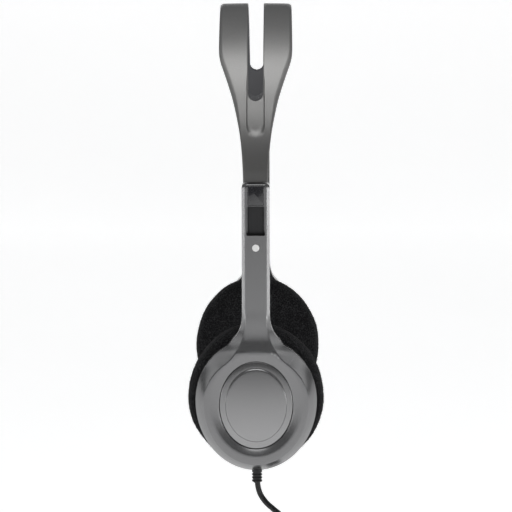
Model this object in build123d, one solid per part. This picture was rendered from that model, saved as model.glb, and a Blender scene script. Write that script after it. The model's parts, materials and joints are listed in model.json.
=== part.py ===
from build123d import *
import math
import os

# Office headset, in millimetres. +X is the wearer's front, +Y the wearer's left and +Z up.
# The origin lies midway between the two ear cushions. Each ear is drawn on the right (-Y) side,
# with depths counted outward from the mid-plane, and mirrored to the left.

# Headband arch
ARCH_CENTRE_Z = 95.5
ARCH_OUTER = 67.5
ARCH_SKIN = 65.6
ARCH_INNER = 64.5
BAND_HALF_WIDTH = 15.35
STEM_HALF_WIDTH = 5.25
STEM_BOTTOM_Z = 94.2
SLOT_END_Z = 127.4
SLOT_HALF_TOP = 3.45
SLOT_HALF_END = 3.1
CHANNEL_END_Z = 112.6
CHANNEL_HALF = 3.65
CHANNEL_DEPTH = 0.9
LEAD_RADIUS = 0.45
LEAD_X = 4.3

# Sliding strip and its channel in the arm
TONGUE_HALF = 3.0
TONGUE_IN = 65.75
TONGUE_OUT = 66.95
TONGUE_BOTTOM_Z = 48.5
TONGUE_TOP_Z = 101.0
RUN_CLEARANCE = 0.35

# Arm
ARM_HALF = 5.8
ARM_IN = 62.8
ARM_OUT = 70.2
ARM_TOP_Z = 93.9
COVER_HALF = 4.7
COVER_OUT = 64.6
COVER_BOTTOM_Z = 40.0
WINDOW_HALF = 3.9
WINDOW_LOW_Z = 72.4
WINDOW_HIGH_Z = 84.7
INSERT_HALF = 3.3
INSERT_LOW_Z = 85.1
INSERT_HIGH_Z = 93.0
INSERT_DEPTH = 1.2
MARKER_RADIUS = 1.7
MARKER_Z = 67.3
MARKER_DEPTH = 0.4

# Ear shell: an egg, widest just above the cushion's centre
EGG_Z = 1.9
RIM_HALF = 25.4
RIM_LOWER = 30.0
RIM_UPPER = 26.5
SHELL_BACK = 62.0
RIM_OUT = 66.5
CREST_OUT = 71.6
CREST_INSET = 4.8
WALL = 2.2
LEDGE_IN = 65.8
LEDGE_OUT = 67.3
CAP_Z = 0.7
CAP_HALF = 15.4
CAP_UPPER = 18.7
FLARE_TOP_Z = 38.0

# Cushion, baffle and driver
PAD_IN = 45.0
PAD_HALF = 29.0
PAD_LOWER = 28.6
PAD_UPPER = 32.4
PAD_EDGE = 4.0
BAFFLE_IN = 60.5
BAFFLE_HALF = 24.8
SOUND_HOLE = 1.0
DRIVER_RADIUS = 16.0
SCREW_PLACES = [(-19.6, -2.0), (19.6, -2.0), (0.0, 21.5)]
SCREW_RADIUS = 0.9
SCREW_HEAD = 1.7

# Cord, hanging from the right shell
CORD_DIAMETER = 2.4
CORD_OUT = 65.0
RELIEF_RADIUS = 2.15
RELIEF_BOTTOM_Z = -31.5
RELIEF_TOP_Z = -22.5
CORD_ROUTE = [
    (0.3, -65.0, -31.5),
    (0.4, -65.0, -36.5),
    (3.2, -65.1, -42.0),
    (8.2, -65.4, -46.3),
    (14.4, -65.5, -51.4),
    (19.2, -65.3, -58.0),
    (21.4, -65.1, -65.6),
    (21.5, -64.8, -73.2),
]
COIL_X = 21.5
COIL_OUT = 46.5
COIL_Z = -86.0
COIL_MEAN = 18.5
COIL_SECTION = 5.6
TIE_HALF = 6.6
TIE_WALL = 0.6
TIE_WIDTH = 7.0
PLUG_X = 31.2
PLUG_OUT = COIL_OUT + COIL_MEAN
PLUG_TOP_Z = -88.0
PLUG_GRIP_RADIUS = 3.8
PLUG_GRIP_LENGTH = 22.0
PLUG_PIN_RADIUS = 1.75
PLUG_PIN_LENGTH = 14.0

# Boom, on the left shell, stowed upright
BOOM_HUB_RADIUS = 10.0
BOOM_HUB_IN = 72.2
BOOM_HUB_OUT = 76.2
BOOM_OUT = 76.9
BOOM_TOP_Z = 96.0
MIC_TOP_Z = 112.0
MIC_HALF = 3.6


def outward(depth):
    """Plane that faces away from the head, this far out on the right side."""
    return Plane.XZ.offset(depth)


def plate(outline, start, end):
    """A flat outline made solid between two depths."""
    return extrude(outward(start) * outline, end - start)


def bar(half, low, high, start, end):
    """A rectangular bar between two heights and two depths."""
    centre = Pos(0, (low + high) / 2)
    return plate(centre * Rectangle(2 * half, high - low), start, end)


def peg(x, z, radius, start, end):
    """A round peg pointing outward."""
    return plate(Pos(x, z) * Circle(radius), start, end)


def egg(inset):
    """The shell's egg outline, moved inward by an inset."""
    half = RIM_HALF - inset
    lower = EllipticalCenterArc((0, EGG_Z), half, RIM_LOWER - inset, start_angle=180, arc_size=180)
    upper = EllipticalCenterArc((0, EGG_Z), half, RIM_UPPER - inset, start_angle=0, arc_size=180)
    return make_face([lower, upper])


def oval(inset):
    """The cap's oval outline, moved inward by an inset."""
    return Pos(0, CAP_Z) * Ellipse(CAP_HALF - inset, CAP_UPPER - inset)


def arch(inner, outer):
    """Side view of a strip of the arch, with its two straight legs, made wide."""
    ring = Circle(outer) - Circle(inner)
    upper = ring & Pos(0, outer / 2) * Rectangle(3 * outer, outer)
    leg_height = ARCH_CENTRE_Z - STEM_BOTTOM_Z
    leg_centre = (inner + outer) / 2
    legs = [Pos(side * leg_centre, -leg_height / 2) * Rectangle(outer - inner, leg_height) for side in (-1, 1)]
    profile = upper + legs
    side_plane = Plane(origin=(-BAND_HALF_WIDTH - 1, 0, ARCH_CENTRE_Z), x_dir=(0, 1, 0), z_dir=(1, 0, 0))
    return extrude(side_plane * profile, 2 * BAND_HALF_WIDTH + 2)


def through_cut(outline):
    """A front-view outline carried through both legs of the arch."""
    return extrude(outward(-ARCH_OUTER - 5) * outline, 2 * ARCH_OUTER + 10)


def band_outline(inset):
    """Front view of the band: a slim stem that swells to the full width near the top."""
    top = ARCH_CENTRE_Z + ARCH_OUTER + 2
    stem = STEM_HALF_WIDTH - inset
    full = BAND_HALF_WIDTH - inset
    rising = [
        (stem, STEM_BOTTOM_Z),
        (5.9 - inset, 108.5),
        (7.8 - inset, 121.0),
        (10.3 - inset, 130.6),
        (13.5 - inset, 139.8),
        (full, 148.0),
    ]
    right = Spline(rising, tangents=[(0, 1), (0, 1)])
    left = Spline([(-x, z) for x, z in rising], tangents=[(0, 1), (0, 1)])
    cap = Polyline(rising[-1], (full, top), (-full, top), (-full, rising[-1][1]))
    base = Line((-stem, STEM_BOTTOM_Z), (stem, STEM_BOTTOM_Z))
    return make_face([base, right, cap, left])


def slot_outline():
    """Front view of the long slot, which runs over the top and ends round."""
    top = ARCH_CENTRE_Z + ARCH_OUTER + 2
    sides = Polygon(
        (-SLOT_HALF_END, SLOT_END_Z + SLOT_HALF_END),
        (SLOT_HALF_END, SLOT_END_Z + SLOT_HALF_END),
        (SLOT_HALF_TOP, top),
        (-SLOT_HALF_TOP, top),
        align=None,
    )
    return sides + Pos(0, SLOT_END_Z + SLOT_HALF_END) * Circle(SLOT_HALF_END)


def lead_groove(radius):
    """The thin lead's path round the arch, with its ends beside the two strips."""
    start = (LEAD_X, -ARCH_SKIN - LEAD_RADIUS, STEM_BOTTOM_Z + 0.5)
    top = (LEAD_X, 0, ARCH_CENTRE_Z + ARCH_SKIN + LEAD_RADIUS)
    end = (LEAD_X, ARCH_SKIN + LEAD_RADIUS, STEM_BOTTOM_Z + 0.5)
    spring_right = (LEAD_X, start[1], ARCH_CENTRE_Z)
    spring_left = (LEAD_X, end[1], ARCH_CENTRE_Z)
    over = Edge.make_three_point_arc(spring_right, top, spring_left)
    path = Wire([Edge.make_line(start, spring_right), over, Edge.make_line(spring_left, end)])
    return sweep(Plane(origin=start, z_dir=(0, 0, 1)) * Circle(radius), path=path)


def make_headband():
    """Outer moulding of the band, with its slot, channels, strip pockets and lead groove."""
    band = arch(ARCH_SKIN, ARCH_OUTER) & through_cut(band_outline(0))
    band -= through_cut(slot_outline())
    channel = through_cut(Pos(0, (CHANNEL_END_Z + SLOT_END_Z + 4) / 2)
                          * Rectangle(2 * CHANNEL_HALF, SLOT_END_Z + 4 - CHANNEL_END_Z))
    band -= channel & arch(ARCH_OUTER - CHANNEL_DEPTH, ARCH_OUTER + 1)
    pocket = bar(TONGUE_HALF, STEM_BOTTOM_Z - 1, TONGUE_TOP_Z, TONGUE_IN, TONGUE_OUT)
    band -= [pocket, mirror(pocket, Plane.XZ)]
    band -= lead_groove(LEAD_RADIUS)
    return band


def make_liner():
    """Dark strip on the inside of the band."""
    return arch(ARCH_INNER, ARCH_SKIN) & through_cut(band_outline(0.4)) - through_cut(slot_outline())


def make_tongue():
    """Steel strip from the band's stem down into the arm, with rounded lower corners."""
    outline = Pos(0, (TONGUE_BOTTOM_Z + TONGUE_TOP_Z) / 2) * Rectangle(2 * TONGUE_HALF, TONGUE_TOP_Z - TONGUE_BOTTOM_Z)
    lower = outline.vertices().sort_by(Axis.Y)[:2]
    return plate(fillet(lower, 1.5), TONGUE_IN, TONGUE_OUT)


def flare_outline():
    """Front view of the neck where the arm widens into the shell."""
    side = [(ARM_HALF, FLARE_TOP_Z), (7.2, 31.3), (12.4, 25.6), (16.6, 21.6)]
    right = Spline(side)
    left = Spline([(-x, z) for x, z in side])
    foot = Polyline(side[-1], (0, 14.0), (-side[-1][0], side[-1][1]))
    return make_face([Line((-ARM_HALF, FLARE_TOP_Z), (ARM_HALF, FLARE_TOP_Z)), right, foot, left])


def make_arm_shell():
    """Arm and outer ear shell in one moulding, hollow towards the head."""
    rim = plate(egg(0), SHELL_BACK, RIM_OUT)
    slope = loft([outward(RIM_OUT) * egg(0), outward(CREST_OUT) * egg(CREST_INSET)])
    arm_outline = Pos(0, (ARM_TOP_Z + 26) / 2) * Rectangle(2 * ARM_HALF, ARM_TOP_Z - 26)
    arm_outline = fillet(arm_outline.vertices().sort_by(Axis.Y)[-2:], 1.4)
    shell = rim + slope + plate(arm_outline, ARM_IN, ARM_OUT) + plate(flare_outline(), SHELL_BACK, RIM_OUT + 0.5)
    shell -= loft([outward(LEDGE_OUT) * oval(-0.8), outward(CREST_OUT + 0.2) * oval(-4.6)])
    shell -= plate(oval(2.0), SHELL_BACK, CREST_OUT)
    shell -= plate(egg(WALL), SHELL_BACK, LEDGE_IN)
    for x, z in SCREW_PLACES:
        shell += peg(x, z, 2.1, SHELL_BACK, LEDGE_OUT - 0.5)
        shell -= peg(x, z, SCREW_RADIUS, SHELL_BACK, LEDGE_IN)
    shell -= bar(COVER_HALF + 0.1, COVER_BOTTOM_Z - 0.1, ARM_TOP_Z + 1, ARM_IN - 1, COVER_OUT)
    channel_half = TONGUE_HALF + RUN_CLEARANCE
    shell -= bar(channel_half, TONGUE_BOTTOM_Z - 4, ARM_TOP_Z + 1, COVER_OUT - 0.1, TONGUE_OUT + RUN_CLEARANCE)
    shell -= bar(WINDOW_HALF, WINDOW_LOW_Z, WINDOW_HIGH_Z, TONGUE_OUT, ARM_OUT + 1)
    shell -= bar(INSERT_HALF, INSERT_LOW_Z, INSERT_HIGH_Z, ARM_OUT - INSERT_DEPTH, ARM_OUT + 1)
    shell -= peg(0, MARKER_Z, MARKER_RADIUS, ARM_OUT - MARKER_DEPTH, ARM_OUT + 1)
    return shell


def relief_bore():
    """Round hole through the right shell's lower wall for the strain relief."""
    middle = (RELIEF_TOP_Z + RELIEF_BOTTOM_Z) / 2
    return Pos(CORD_ROUTE[0][0], -CORD_OUT, middle) * Cylinder(RELIEF_RADIUS, RELIEF_TOP_Z - RELIEF_BOTTOM_Z + 2)


def make_arm_cover():
    """Thin lid on the head side of the arm."""
    return bar(COVER_HALF, COVER_BOTTOM_Z, ARM_TOP_Z, ARM_IN, COVER_OUT)


def make_arm_insert():
    """Gloss panel set into the top of the arm's face."""
    return bar(INSERT_HALF, INSERT_LOW_Z, INSERT_HIGH_Z, ARM_OUT - INSERT_DEPTH, ARM_OUT - 0.2)


def make_side_marker():
    """Small pale disc in the arm's face that tells the two sides apart."""
    return peg(0, MARKER_Z, MARKER_RADIUS, ARM_OUT - MARKER_DEPTH, ARM_OUT)


def make_detent_spring():
    """Leaf on the cover's inner face that presses the strip and holds the slide."""
    foot = bar(2.2, 52.0, 66.0, COVER_OUT, COVER_OUT + 0.3)
    crown = bar(2.2, 57.5, 60.5, COVER_OUT + 0.3, TONGUE_IN - RUN_CLEARANCE)
    return foot + crown


def make_cap():
    """Oval outer cap: a ring that falls outward, and a gently raised middle, hollow behind."""
    rim = plate(oval(0), LEDGE_OUT, 69.0)
    ring = loft([outward(69.0) * oval(0), outward(70.4) * oval(2.6)])
    middle = loft([outward(70.4) * oval(2.6), outward(71.2) * oval(5.0)])
    return rim + ring + middle - plate(oval(2.6), LEDGE_OUT, 69.2)


def make_baffle():
    """Plate that carries the driver, with rings of sound holes and screw seats."""
    baffle = plate(egg(RIM_HALF - BAFFLE_HALF), BAFFLE_IN, SHELL_BACK)
    holes = [(0.0, 0.0)]
    for ring, count in ((4.0, 6), (8.0, 12)):
        holes += [(ring * math.cos(math.tau * i / count), ring * math.sin(math.tau * i / count)) for i in range(count)]
    for x, z in holes:
        baffle -= peg(x, z, SOUND_HOLE, BAFFLE_IN, SHELL_BACK)
    for x, z in SCREW_PLACES:
        baffle -= peg(x, z, SCREW_RADIUS, BAFFLE_IN, SHELL_BACK)
        baffle -= peg(x, z, SCREW_HEAD, BAFFLE_IN, BAFFLE_IN + 0.8)
    return baffle


def make_screws():
    """The three small screws that hold the baffle to the shell."""
    screws = []
    for x, z in SCREW_PLACES:
        head = peg(x, z, SCREW_HEAD, BAFFLE_IN, BAFFLE_IN + 0.8)
        screws.append(head + peg(x, z, SCREW_RADIUS, BAFFLE_IN + 0.8, LEDGE_IN - 0.2))
    return Compound(children=screws)


def tube(outer, inner, start, end):
    """A ring round the driver's axis."""
    return peg(0, 0, outer, start, end) - peg(0, 0, inner, start, end)


def make_driver():
    """The driver's separate pieces, from the diaphragm outward."""
    return {
        "diaphragm": peg(0, 0, 14.2, 62.3, 62.6),
        "voice_coil": tube(7.1, 6.7, 62.6, 65.0),
        "driver_magnet": peg(0, 0, 6.3, 63.6, 66.2),
        "driver_yoke": tube(9.6, 7.6, 63.6, 67.6) + peg(0, 0, 7.6, 66.2, 67.6),
        "driver_basket": tube(DRIVER_RADIUS, 14.3, SHELL_BACK, 64.4) + tube(DRIVER_RADIUS, 9.6, 64.4, 65.4),
    }


def make_cushion():
    """Foam ear cushion with rounded edges."""
    lower = EllipticalCenterArc((0, 0), PAD_HALF, PAD_LOWER, start_angle=180, arc_size=180)
    upper = EllipticalCenterArc((0, 0), PAD_HALF, PAD_UPPER, start_angle=0, arc_size=180)
    block = plate(make_face([lower, upper]), PAD_IN, BAFFLE_IN)
    return fillet(block.edges().filter_by(GeomType.ELLIPSE), PAD_EDGE)


def make_relief():
    """Ribbed rubber sleeve where the cord leaves the shell."""
    x = CORD_ROUTE[0][0]
    length = RELIEF_TOP_Z - RELIEF_BOTTOM_Z
    sleeve = Pos(x, -CORD_OUT, RELIEF_BOTTOM_Z + length / 2) * Cylinder(RELIEF_RADIUS, length)
    for step in range(2):
        groove_z = RELIEF_BOTTOM_Z + 0.9 + 1.2 * step
        ring = Cylinder(RELIEF_RADIUS + 1, 0.5) - Cylinder(RELIEF_RADIUS - 0.35, 0.5)
        sleeve -= Pos(x, -CORD_OUT, groove_z) * ring
    return sleeve


def make_cord_clamp():
    """Small block that grips the cord's end inside the shell."""
    return Pos(CORD_ROUTE[0][0], 0, 0) * bar(3.2, -22.4, -18.0, 62.3, 65.5)


def make_cord_lead():
    """The cord from the strain relief to the coil: straight runs joined by tangent arcs."""
    points = [Vector(*point) for point in CORD_ROUTE]
    radii = []
    for before, corner, after in zip(points, points[1:], points[2:]):
        turn = math.radians((corner - before).get_angle(after - corner))
        shorter = min((corner - before).length, (after - corner).length)
        radii.append(0.45 * shorter / math.tan(turn / 2))
    print("cord radii", [round(radius, 1) for radius in radii])
    path = FilletPolyline(*points, radius=radii)
    start = Plane(origin=path @ 0, z_dir=path % 0)
    lead = sweep(start * Circle(CORD_DIAMETER / 2), path=path)
    print("cord volume", round(lead.volume, 1), "section times length",
          round(math.pi * CORD_DIAMETER**2 / 4 * path.length, 1))
    return lead


def make_cord_coil():
    """Outer shape of the put-away coil, which hangs with its turns tied together."""
    centre = Plane(origin=(COIL_X, -COIL_OUT, COIL_Z), x_dir=(0, 1, 0), z_dir=(1, 0, 0))
    return centre * Torus(COIL_MEAN, COIL_SECTION)


def make_cord_tie():
    """Flat tie round one side of the coil."""
    place = Pos(COIL_X, COIL_MEAN - COIL_OUT, COIL_Z)
    inner = 2 * (TIE_HALF - TIE_WALL)
    return place * (Box(2 * TIE_HALF, 2 * TIE_HALF, TIE_WIDTH) - Box(inner, inner, TIE_WIDTH))


def make_plug_grip():
    """Moulded grip of the plug."""
    centre = Pos(PLUG_X, -PLUG_OUT, PLUG_TOP_Z - PLUG_GRIP_LENGTH / 2)
    grip = centre * Cylinder(PLUG_GRIP_RADIUS, PLUG_GRIP_LENGTH)
    return chamfer(grip.edges().sort_by(Axis.Z)[-1:], 1.6)


def plug_rings(spans):
    """Plug bands at these distances below the grip."""
    low = PLUG_TOP_Z - PLUG_GRIP_LENGTH
    return [Pos(PLUG_X, -PLUG_OUT, low - (start + end) / 2) * Cylinder(PLUG_PIN_RADIUS, end - start)
            for start, end in spans]


def make_plug_contacts():
    """Sleeve, two rings and tip of the 3.5 mm plug."""
    contacts = plug_rings([(0.0, 4.2), (4.9, 7.2), (7.9, 10.2), (10.9, PLUG_PIN_LENGTH)])
    contacts[-1] = chamfer(contacts[-1].edges().sort_by(Axis.Z)[:1], 1.0)
    return Compound(children=contacts)


def make_plug_insulators():
    """The three black rings between the contacts."""
    return Compound(children=plug_rings([(4.2, 4.9), (7.2, 7.9), (10.2, 10.9)]))


def make_boom_parts():
    """Boom pieces, drawn on the right side and mirrored to the left with the rest."""
    hub = peg(0, CAP_Z, BOOM_HUB_RADIUS, BOOM_HUB_IN, BOOM_HUB_OUT)
    pivot = peg(0, CAP_Z, 2.5, 69.6, BOOM_HUB_IN)
    clip = peg(0, CAP_Z, 4.0, 68.7, 69.1) + peg(0, CAP_Z, 2.5, 69.1, 69.6)
    boom = bar(2.2, CAP_Z + BOOM_HUB_RADIUS - 0.8, BOOM_TOP_Z, 73.0, 75.4)
    hub -= boom
    mic = bar(MIC_HALF, BOOM_TOP_Z, MIC_TOP_Z, BOOM_HUB_IN + 0.4, BOOM_OUT)
    mic = fillet(mic.edges().filter_by(Axis.Y), 2.2)
    capsule = peg(0, MIC_TOP_Z - 6.0, 2.0, 73.6, 75.6)
    mic -= capsule
    return {
        "boom_hub": hub + pivot,
        "boom_clip": clip,
        "boom_arm": boom,
        "mic_housing": mic,
        "mic_capsule": capsule,
    }


def save(name, shape):
    """Write one node as its own STEP file."""
    shape.label = name
    export_step(shape, f"parts/{name}.step")


def save_side(side, place):
    """Write the nodes that both ears have, put on their side by a placing function."""
    shell = make_arm_shell()
    cap = make_cap()
    if side == "right":
        shell -= relief_bore()
    else:
        cap -= peg(0, CAP_Z, 2.6, LEDGE_OUT, CREST_OUT)
    nodes = {
        "arm_shell": shell,
        "cap": cap,
        "slide_tongue": make_tongue(),
        "arm_cover": make_arm_cover(),
        "arm_insert": make_arm_insert(),
        "side_marker": make_side_marker(),
        "detent_spring": make_detent_spring(),
        "baffle": make_baffle(),
        "shell_screws": make_screws(),
        "ear_cushion": make_cushion(),
    }
    nodes.update(make_driver())
    for name, shape in nodes.items():
        save(f"{side}_{name}", place(shape))


def to_left(shape):
    """Mirror a right-hand piece to the left side."""
    return mirror(shape, Plane.XZ)


os.makedirs("parts", exist_ok=True)
save("headband", make_headband())
save("headband_liner", make_liner())
save("crossover_lead", lead_groove(LEAD_RADIUS))
save_side("right", lambda shape: shape)
save_side("left", to_left)
save("strain_relief", make_relief())
save("cord_clamp", make_cord_clamp())
save("cord_lead", make_cord_lead())
save("cord_coil", make_cord_coil())
save("cord_tie", make_cord_tie())
save("plug_grip", make_plug_grip())
save("plug_contacts", make_plug_contacts())
save("plug_insulators", make_plug_insulators())
for boom_name, boom_shape in make_boom_parts().items():
    save(boom_name, to_left(boom_shape))
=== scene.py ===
import json
import logging
import math
from dataclasses import dataclass
from enum import Enum
from functools import cached_property
from typing import Callable, Iterable, Sequence

import bmesh
import bpy
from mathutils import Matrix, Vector, noise


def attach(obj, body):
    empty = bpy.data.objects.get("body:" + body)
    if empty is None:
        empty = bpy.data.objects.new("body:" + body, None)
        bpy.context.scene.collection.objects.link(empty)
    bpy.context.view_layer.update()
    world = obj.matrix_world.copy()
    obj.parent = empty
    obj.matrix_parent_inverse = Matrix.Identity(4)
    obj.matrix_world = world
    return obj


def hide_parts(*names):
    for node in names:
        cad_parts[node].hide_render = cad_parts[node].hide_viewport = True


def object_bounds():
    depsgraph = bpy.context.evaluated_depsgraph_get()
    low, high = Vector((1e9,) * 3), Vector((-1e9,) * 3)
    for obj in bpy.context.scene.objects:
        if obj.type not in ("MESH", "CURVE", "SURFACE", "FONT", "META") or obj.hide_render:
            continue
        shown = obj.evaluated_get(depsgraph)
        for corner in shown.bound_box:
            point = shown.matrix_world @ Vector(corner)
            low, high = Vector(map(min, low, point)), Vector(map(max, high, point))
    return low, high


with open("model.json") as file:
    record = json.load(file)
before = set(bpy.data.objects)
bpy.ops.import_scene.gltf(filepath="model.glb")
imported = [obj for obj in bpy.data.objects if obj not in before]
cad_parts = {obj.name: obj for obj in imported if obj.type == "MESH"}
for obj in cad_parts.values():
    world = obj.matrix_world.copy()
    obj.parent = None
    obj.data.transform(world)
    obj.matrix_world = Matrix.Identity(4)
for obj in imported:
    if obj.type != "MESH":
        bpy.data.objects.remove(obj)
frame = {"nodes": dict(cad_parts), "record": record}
CAD_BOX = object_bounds()
LOG = logging.getLogger("headset")
MM = 0.001
Point = tuple[float, float, float]
Colour = tuple[float, float, float]


class Side(Enum):
    """Which ear a piece belongs to. The value is the sign of its outward direction in Y."""

    RIGHT = -1
    LEFT = 1

    @property
    def word(self) -> str:
        """Lower-case name used in piece and node names."""
        return self.name.lower()

    @property
    def body(self) -> str:
        """Body that carries this side's arm."""
        return f"{self.word}_arm"


# ---------------------------------------------------------------- meshes


def make_object(name: str, verts: Iterable[Sequence[float]],
                faces: Iterable[Sequence[int]]) -> bpy.types.Object:
    """Make a smooth-shaded mesh object from points in millimetres.

    Args:
        name: The object's name.
        verts: Points in millimetres in the row frame.
        faces: Vertex indices of each face.

    Returns:
        The new object, linked to the scene, with normals outward and doubles merged.
    """
    mesh = bpy.data.meshes.new(name)
    scaled = [(x * MM, y * MM, z * MM) for x, y, z in verts]
    mesh.from_pydata(scaled, [], [tuple(f) for f in faces])
    work = bmesh.new()
    work.from_mesh(mesh)
    bmesh.ops.remove_doubles(work, verts=work.verts, dist=1e-6)
    bmesh.ops.dissolve_degenerate(work, edges=work.edges, dist=1e-7)
    bmesh.ops.recalc_face_normals(work, faces=work.faces)
    work.to_mesh(mesh)
    work.free()
    mesh.shade_smooth()
    made = bpy.data.objects.new(name, mesh)
    bpy.context.collection.objects.link(made)
    return made


def sharpen(piece: bpy.types.Object, degrees: float = 35.0) -> bpy.types.Object:
    """Mark edges sharper than an angle, so that flats stay flat in the shading."""
    piece.data.set_sharp_from_angle(angle=math.radians(degrees))
    return piece


def apply_modifiers(piece: bpy.types.Object) -> bpy.types.Object:
    """Turn a piece's evaluated shape into its plain mesh and remove its modifiers."""
    graph = bpy.context.evaluated_depsgraph_get()
    graph.update()
    mesh = bpy.data.meshes.new_from_object(piece.evaluated_get(graph))
    piece.modifiers.clear()
    piece.data = mesh
    return piece


def loops_to_faces(count: int, rings: int, closed: bool = True) -> list[tuple[int, int, int, int]]:
    """Quads that join a stack of point rings.

    Args:
        count: Points in each ring.
        rings: Number of rings.
        closed: Whether each ring joins its last point to its first.

    Returns:
        The faces' vertex indices.
    """
    span = count if closed else count - 1
    faces = []
    for ring in range(rings - 1):
        for i in range(span):
            j = (i + 1) % count
            faces.append((ring * count + i, ring * count + j, (ring + 1) * count + j, (ring + 1) * count + i))
    return faces


def lathe(name: str, profile: Sequence[tuple[float, float]], centre: Point, axis: str = "Y",
          turns: int = 64) -> bpy.types.Object:
    """Turn a profile of (radius, height) pairs about a line, both in millimetres.

    Args:
        name: The object's name.
        profile: Radii with heights along the axis, measured from the centre.
        centre: A point on the axis, in millimetres.
        axis: "Y" or "Z", the direction of the axis.
        turns: Points round the axis.

    Returns:
        The turned piece.
    """
    verts = []
    for radius, height in profile:
        for i in range(turns):
            angle = math.tau * i / turns
            across, along = radius * math.cos(angle), radius * math.sin(angle)
            offset = (across, height, along) if axis == "Y" else (across, along, height)
            verts.append(tuple(c + o for c, o in zip(centre, offset)))
    return make_object(name, verts, loops_to_faces(turns, len(profile)))


def smoothstep(low: float, high: float, value: float) -> float:
    """Ease from 0 to 1 as a value passes from low to high."""
    share = min(max((value - low) / (high - low), 0.0), 1.0)
    return share * share * (3 - 2 * share)


def mix(a: float, b: float, share: float) -> float:
    """Linear mix of two numbers."""
    return a + (b - a) * share


def curve_point(knots: Sequence[Sequence[float]], t: float) -> tuple[float, ...]:
    """Point on the smooth curve between the middle two of four knots, t from 0 to 1."""
    return tuple(0.5 * (2 * b + (c - a) * t + (2 * a - 5 * b + 4 * c - d) * t * t
                        + (3 * b - a - 3 * c + d) * t**3) for a, b, c, d in zip(*knots))


def extrude_outline(name: str, outline: Sequence[tuple[float, float]], depths: Sequence[tuple[float, float]],
                    side: Side) -> bpy.types.Object:
    """Stack inset copies of a closed front-view outline between depths and close both ends.

    Args:
        name: The object's name.
        outline: (x, z) points, in millimetres.
        depths: (outward depth, inset towards the outline's middle) pairs.
        side: The ear that the piece belongs to.

    Returns:
        The closed piece.
    """
    xs, zs = zip(*outline)
    mid_x, mid_z = (min(xs) + max(xs)) / 2, (min(zs) + max(zs)) / 2
    half_x, half_z = (max(xs) - min(xs)) / 2, (max(zs) - min(zs)) / 2
    verts = []
    for depth, inset in depths:
        sx, sz = 1 - inset / half_x, 1 - inset / half_z
        place = side.value * depth
        verts += [(mid_x + (x - mid_x) * sx, place, mid_z + (z - mid_z) * sz) for x, z in outline]
    count = len(outline)
    faces = loops_to_faces(count, len(depths))
    faces.append(tuple(range(count)))
    faces.append(tuple(range((len(depths) - 1) * count, len(depths) * count)))
    return make_object(name, verts, faces)


def rounded_rectangle(half_x: float, low: float, high: float, radius: float,
                      steps: int = 6) -> list[tuple[float, float]]:
    """Closed outline of an upright rectangle with round corners."""
    corners = ((half_x, high, 0), (-half_x, high, 90), (-half_x, low, 180), (half_x, low, 270))
    outline = []
    for x, z, start in corners:
        cx = x - math.copysign(radius, x)
        cz = z - radius if z == high else z + radius
        for i in range(steps + 1):
            angle = math.radians(start + 90 * i / steps)
            outline.append((cx + radius * math.cos(angle), cz + radius * math.sin(angle)))
    return outline


# ---------------------------------------------------------------- shader groups


class Tree:
    """Short-hand for adding and joining nodes in a node tree."""

    def __init__(self, tree: bpy.types.NodeTree) -> None:
        """Keep the tree that nodes are added to."""
        self.tree = tree

    def add(self, kind: str, **values: object) -> bpy.types.Node:
        """Add a node and set its properties, or its inputs where a value names a socket.

        Args:
            kind: The node's type name.
            **values: Property or input names with their values. Spaces are written as underscores.

        Returns:
            The new node.
        """
        node = self.tree.nodes.new(kind)
        for key, value in values.items():
            if hasattr(node, key):
                setattr(node, key, value)
            else:
                node.inputs[key.replace("_", " ")].default_value = value
        return node

    def join(self, source: bpy.types.NodeSocket, target: bpy.types.NodeSocket) -> None:
        """Link an output to an input."""
        self.tree.links.new(source, target)

    def maths(self, operation: str, first: object, second: object = None) -> bpy.types.NodeSocket:
        """Add a maths node on sockets or numbers and return its output."""
        node = self.tree.nodes.new("ShaderNodeMath")
        node.operation = operation
        for socket, value in zip(node.inputs, (first, second)):
            if isinstance(value, bpy.types.NodeSocket):
                self.join(value, socket)
            elif value is not None:
                socket.default_value = value
        return node.outputs[0]

    def ramp(self, source: bpy.types.NodeSocket, low: float, high: float) -> bpy.types.NodeSocket:
        """Stretch a value so that low becomes 0 and high becomes 1, clamped."""
        node = self.tree.nodes.new("ShaderNodeMapRange")
        node.inputs["From Min"].default_value = low
        node.inputs["From Max"].default_value = high
        self.join(source, node.inputs["Value"])
        return node.outputs["Result"]


def new_group(name: str, inputs: dict[str, tuple[str, object]],
              outputs: dict[str, str]) -> tuple[Tree, object, object]:
    """Make an empty shader group with named sockets.

    Args:
        name: The group's name.
        inputs: Socket names with their type and default value.
        outputs: Socket names with their type.

    Returns:
        The tree helper, the group's input node and its output node.
    """
    group = bpy.data.node_groups.new(name, "ShaderNodeTree")
    for label, (kind, default) in inputs.items():
        socket = group.interface.new_socket(name=label, in_out="INPUT", socket_type=kind)
        socket.default_value = default
    for label, kind in outputs.items():
        group.interface.new_socket(name=label, in_out="OUTPUT", socket_type=kind)
    return Tree(group), group.nodes.new("NodeGroupInput"), group.nodes.new("NodeGroupOutput")


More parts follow.
